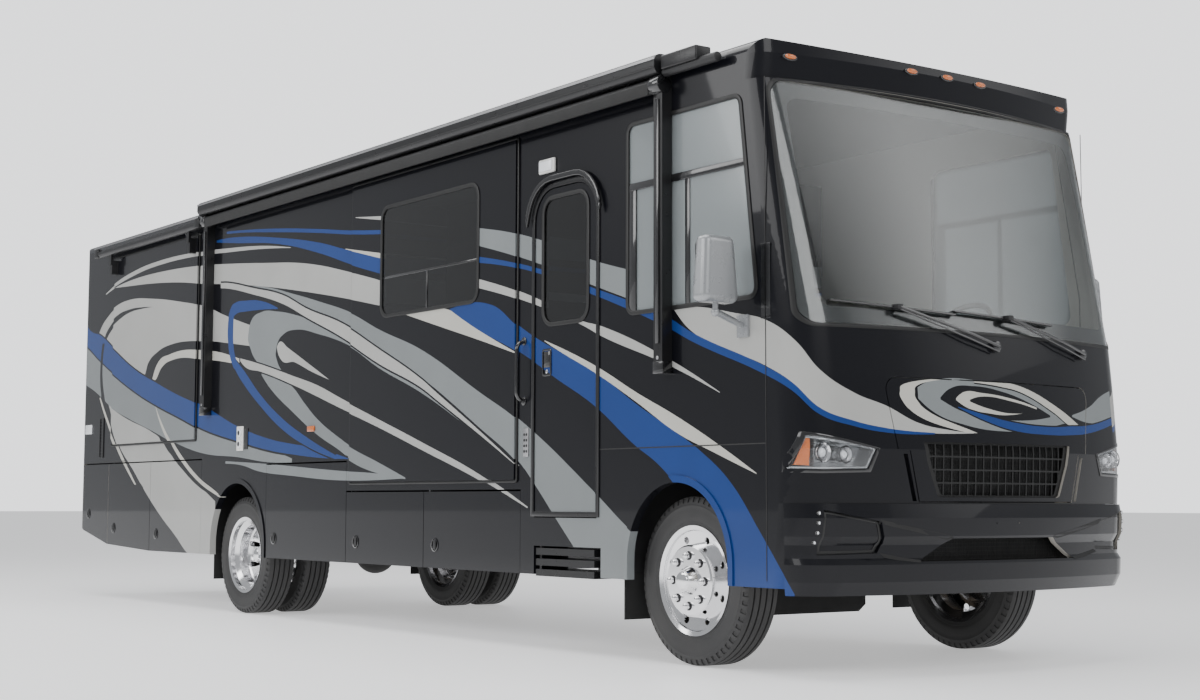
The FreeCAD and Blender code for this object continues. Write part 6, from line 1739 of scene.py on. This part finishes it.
# %% Shroud slots, as painted shade
ROOF_AC = (-2.60, -7.40)
SLOTS, SLOT_STEP = 9, 0.075
for unit, station in enumerate(ROOF_AC):
    for sign in (-1, 1):
        for i in range(SLOTS):
            x = at(station) + (i - (SLOTS - 1) / 2) * SLOT_STEP
            ends = [touch("roof_units", (x, sign * 1.2, z), (0, -sign, 0)) for z in (3.62, 3.70)]
            settle(pipe(f"shroud_slot_{unit}_{sign + 1}_{i}", ends, 0.006, sides=2), SEAL_RUBBER_AND_SHADOW)
print("roof units dressed")

# %% [markdown]
# ## Seats
# The driver's and the passenger's seats are leather cushions over foam: crowned in the middle,
# with sewn channels along and across each panel. The plain CAD pads
# give the space. Each pad starts as a slightly smaller block, is remeshed to even small faces,
# and is blown up by a cloth simulation with pressure and no gravity, which crowns it as foam
# does. A cap keeps any point from moving further than a real cushion swells.

# %% Padded pieces
def cushion(name, low, high, tilt=0.0, hinge=None, swell=0.024, channels=()):
    """A swollen leather pad between two corners, leaning about a hinge line along Y."""
    pad = block(name, low, high, 0.030, 4)
    if hinge:
        pad.rotation_euler = (0, tilt, 0)
        pad.location = Vector(hinge) - Matrix.Rotation(tilt, 3, "Y") @ Vector(hinge)
        apply_place()
    shape_by("REMESH", mode="VOXEL", voxel_size=0.012)
    swell_with_cloth(pad, swell)
    sew_channels(pad, channels, tilt)
    shape_by("SUBSURF", levels=1, render_levels=1)
    settle(pad, SEAT_LEATHER, "root", angle=60)
    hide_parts("seats")
    return pad


CLOTH_FRAMES = 20


def swell_with_cloth(pad, cap):
    """Twenty frames of cloth with pressure, then each point's move is capped."""
    rest = [vertex.co.copy() for vertex in pad.data.vertices]
    cloth = pad.modifiers.new("cloth", "CLOTH")
    cloth.settings.use_pressure = True
    cloth.settings.uniform_pressure_force = 4.0
    cloth.settings.quality = 5
    cloth.settings.mass = 0.3
    cloth.settings.effector_weights.gravity = 0.0
    cloth.point_cache.frame_start = 1
    cloth.point_cache.frame_end = CLOTH_FRAMES
    for step in range(1, CLOTH_FRAMES + 1):
        bpy.context.scene.frame_set(step)
    pick_only(pad)
    bpy.ops.object.modifier_apply(modifier=cloth.name)
    bpy.context.scene.frame_set(1)
    moved = 0.0
    for vertex, start in zip(pad.data.vertices, rest):
        move = vertex.co - start
        moved = max(moved, move.length)
        if move.length > cap:
            vertex.co = start + move.normalized() * cap
    print(pad.name, "swelled by up to", round(moved, 3))


def sew_channels(pad, channels, tilt):
    """Pulls the surface in along sewn lines; a channel is (axis, place from the pad's middle)."""
    turn = Matrix.Rotation(-tilt, 3, "Y")
    pad_middle = sum((vertex.co for vertex in pad.data.vertices), Vector()) / len(pad.data.vertices)
    for vertex in pad.data.vertices:
        flat = turn @ (vertex.co - pad_middle)
        pulls = [SEAM_DEEP * math.exp(-((flat[axis] - place) / SEAM_HALF) ** 2) for axis, place in channels]
        pull = max(pulls, default=0.0)
        if pull:
            vertex.co -= vertex.normal * pull


SEAM_DEEP, SEAM_HALF = 0.008, 0.010
SEAT_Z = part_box("seats")[0][2]
SEAT_X0, SEAT_DEEP, SEAT_HALF = at(-0.76), 0.52, 0.26
HINGE_X, HINGE_Z = SEAT_X0 - 0.0639, SEAT_Z + 0.02
LEAN = math.radians(-12)
INSET = 0.014
HEAD_HALF = 0.15
DOWN_THE_PANEL = ((1, 0.16), (1, -0.16))
for side, sign in SIDES:
    y = sign * 0.64
    cushion(f"seat_cushion_{side}", (SEAT_X0 + 0.01 + INSET, y - SEAT_HALF + INSET, SEAT_Z + 0.004),
            (SEAT_X0 + SEAT_DEEP - INSET, y + SEAT_HALF - INSET, SEAT_Z + 0.13 - INSET),
            channels=((0, 0.10), (0, -0.08), *DOWN_THE_PANEL))
    hinge = (HINGE_X, y, HINGE_Z)
    cushion(f"seat_back_{side}", (HINGE_X - 0.065 + INSET, y - SEAT_HALF + INSET, SEAT_Z + 0.05),
            (HINGE_X + 0.065 - INSET, y + SEAT_HALF - INSET, HINGE_Z + 0.650), LEAN, hinge,
            channels=((2, 0.10), (2, -0.10), *DOWN_THE_PANEL))
    cushion(f"headrest_{side}", (HINGE_X - 0.050 + INSET, y - HEAD_HALF + INSET, HINGE_Z + 0.69),
            (HINGE_X + 0.050 - INSET, y + HEAD_HALF - INSET, HINGE_Z + 0.850), LEAN, hinge, swell=0.016)
    turn = Matrix.Rotation(LEAN, 3, "Y")
    for i, offset in enumerate((-0.06, 0.06)):
        foot, tip = (Vector(hinge) + turn @ Vector((0, offset, up)) for up in (0.62, 0.72))
        settle(rod(f"headrest_post_{side}_{i}", foot, tip, 0.006, 16, 0.0012), CHROME)
print("seats made")

# %% [markdown]
# ## Dashboard and wheel
# The dashboard is a soft vinyl moulding. It gets an instrument hood with round dials ahead of
# the driver, a centre stack with a dark screen, and air vents. The steering wheel carries a
# padded boss.

# %% Dashboard details
wheel_mid = middle("steering_wheel")
top = touch("dashboard", (at(0.68), wheel_mid.y, 1.9), (0, 0, -1))
HOOD_HALF, HOOD_HIGH = 0.19, 0.105
hood_line = [(-HOOD_HALF, 0.0), (HOOD_HALF, 0.0)]
for degrees in range(15, 180, 15):
    turn = math.radians(degrees)
    hood_line.append((HOOD_HALF * math.cos(turn), HOOD_HIGH * math.sin(turn)))
hood_face = [(top.x - 0.02, wheel_mid.y + y, top.z - 0.004 + z) for y, z in hood_line]
binnacle = plate("instrument_hood", hood_face, (0.16, 0, 0), 0.012, 3)
settle(binnacle, DASH_VINYL)
for i, (y, radius) in enumerate(((-0.075, 0.040), (0.035, 0.040), (0.125, 0.022), (-0.145, 0.018))):
    rim = radius + 0.003
    section = [(0.0, -0.002), (radius, -0.002), (rim, -0.006), (rim, 0.002), (0.0, 0.002)]
    dial = lathe(f"dial_{i}", section, (top.x - 0.021, wheel_mid.y + y, top.z + 0.042), 32, axis="X")
    settle(dial, GLOSS_BLACK)
screen = block("dash_screen", (top.x - 0.045, -0.13, top.z + 0.004), (top.x - 0.020, 0.13, top.z + 0.155),
               0.006, 3)
settle(screen, GLOSS_BLACK)
for i, y in enumerate((-0.55, -0.30, 0.22)):
    vent = louvre_panel(f"dash_vent_{i}", (top.x - 0.5, top.x - 0.4), (1.0, 1.06), SIDE, 5)
    vent.rotation_euler = (0, 0, -math.pi / 2)
    pick_only(vent)
    apply_place()
    centre = sum((Vector(corner) for corner in vent.bound_box), Vector()) / 8
    vent.location = touch("dashboard", (at(0.0), y, 1.60), (1, 0, 0)) - centre + Vector((-0.002, 0, 0))
    settle(vent, BLACK_PLASTIC)
boss = begin("uv_sphere", "wheel_boss", segments=32, ring_count=16, radius=1, location=wheel_mid,
             scale=(0.035, 0.075, 0.070))
pick_faces(boss, lambda face: face.normal.x < -0.75)
bpy.ops.mesh.inset(thickness=0.003, depth=-0.002)
leave_edit()
settle(boss, WHEEL_LEATHER, "steering_wheel")
print("dashboard dressed")
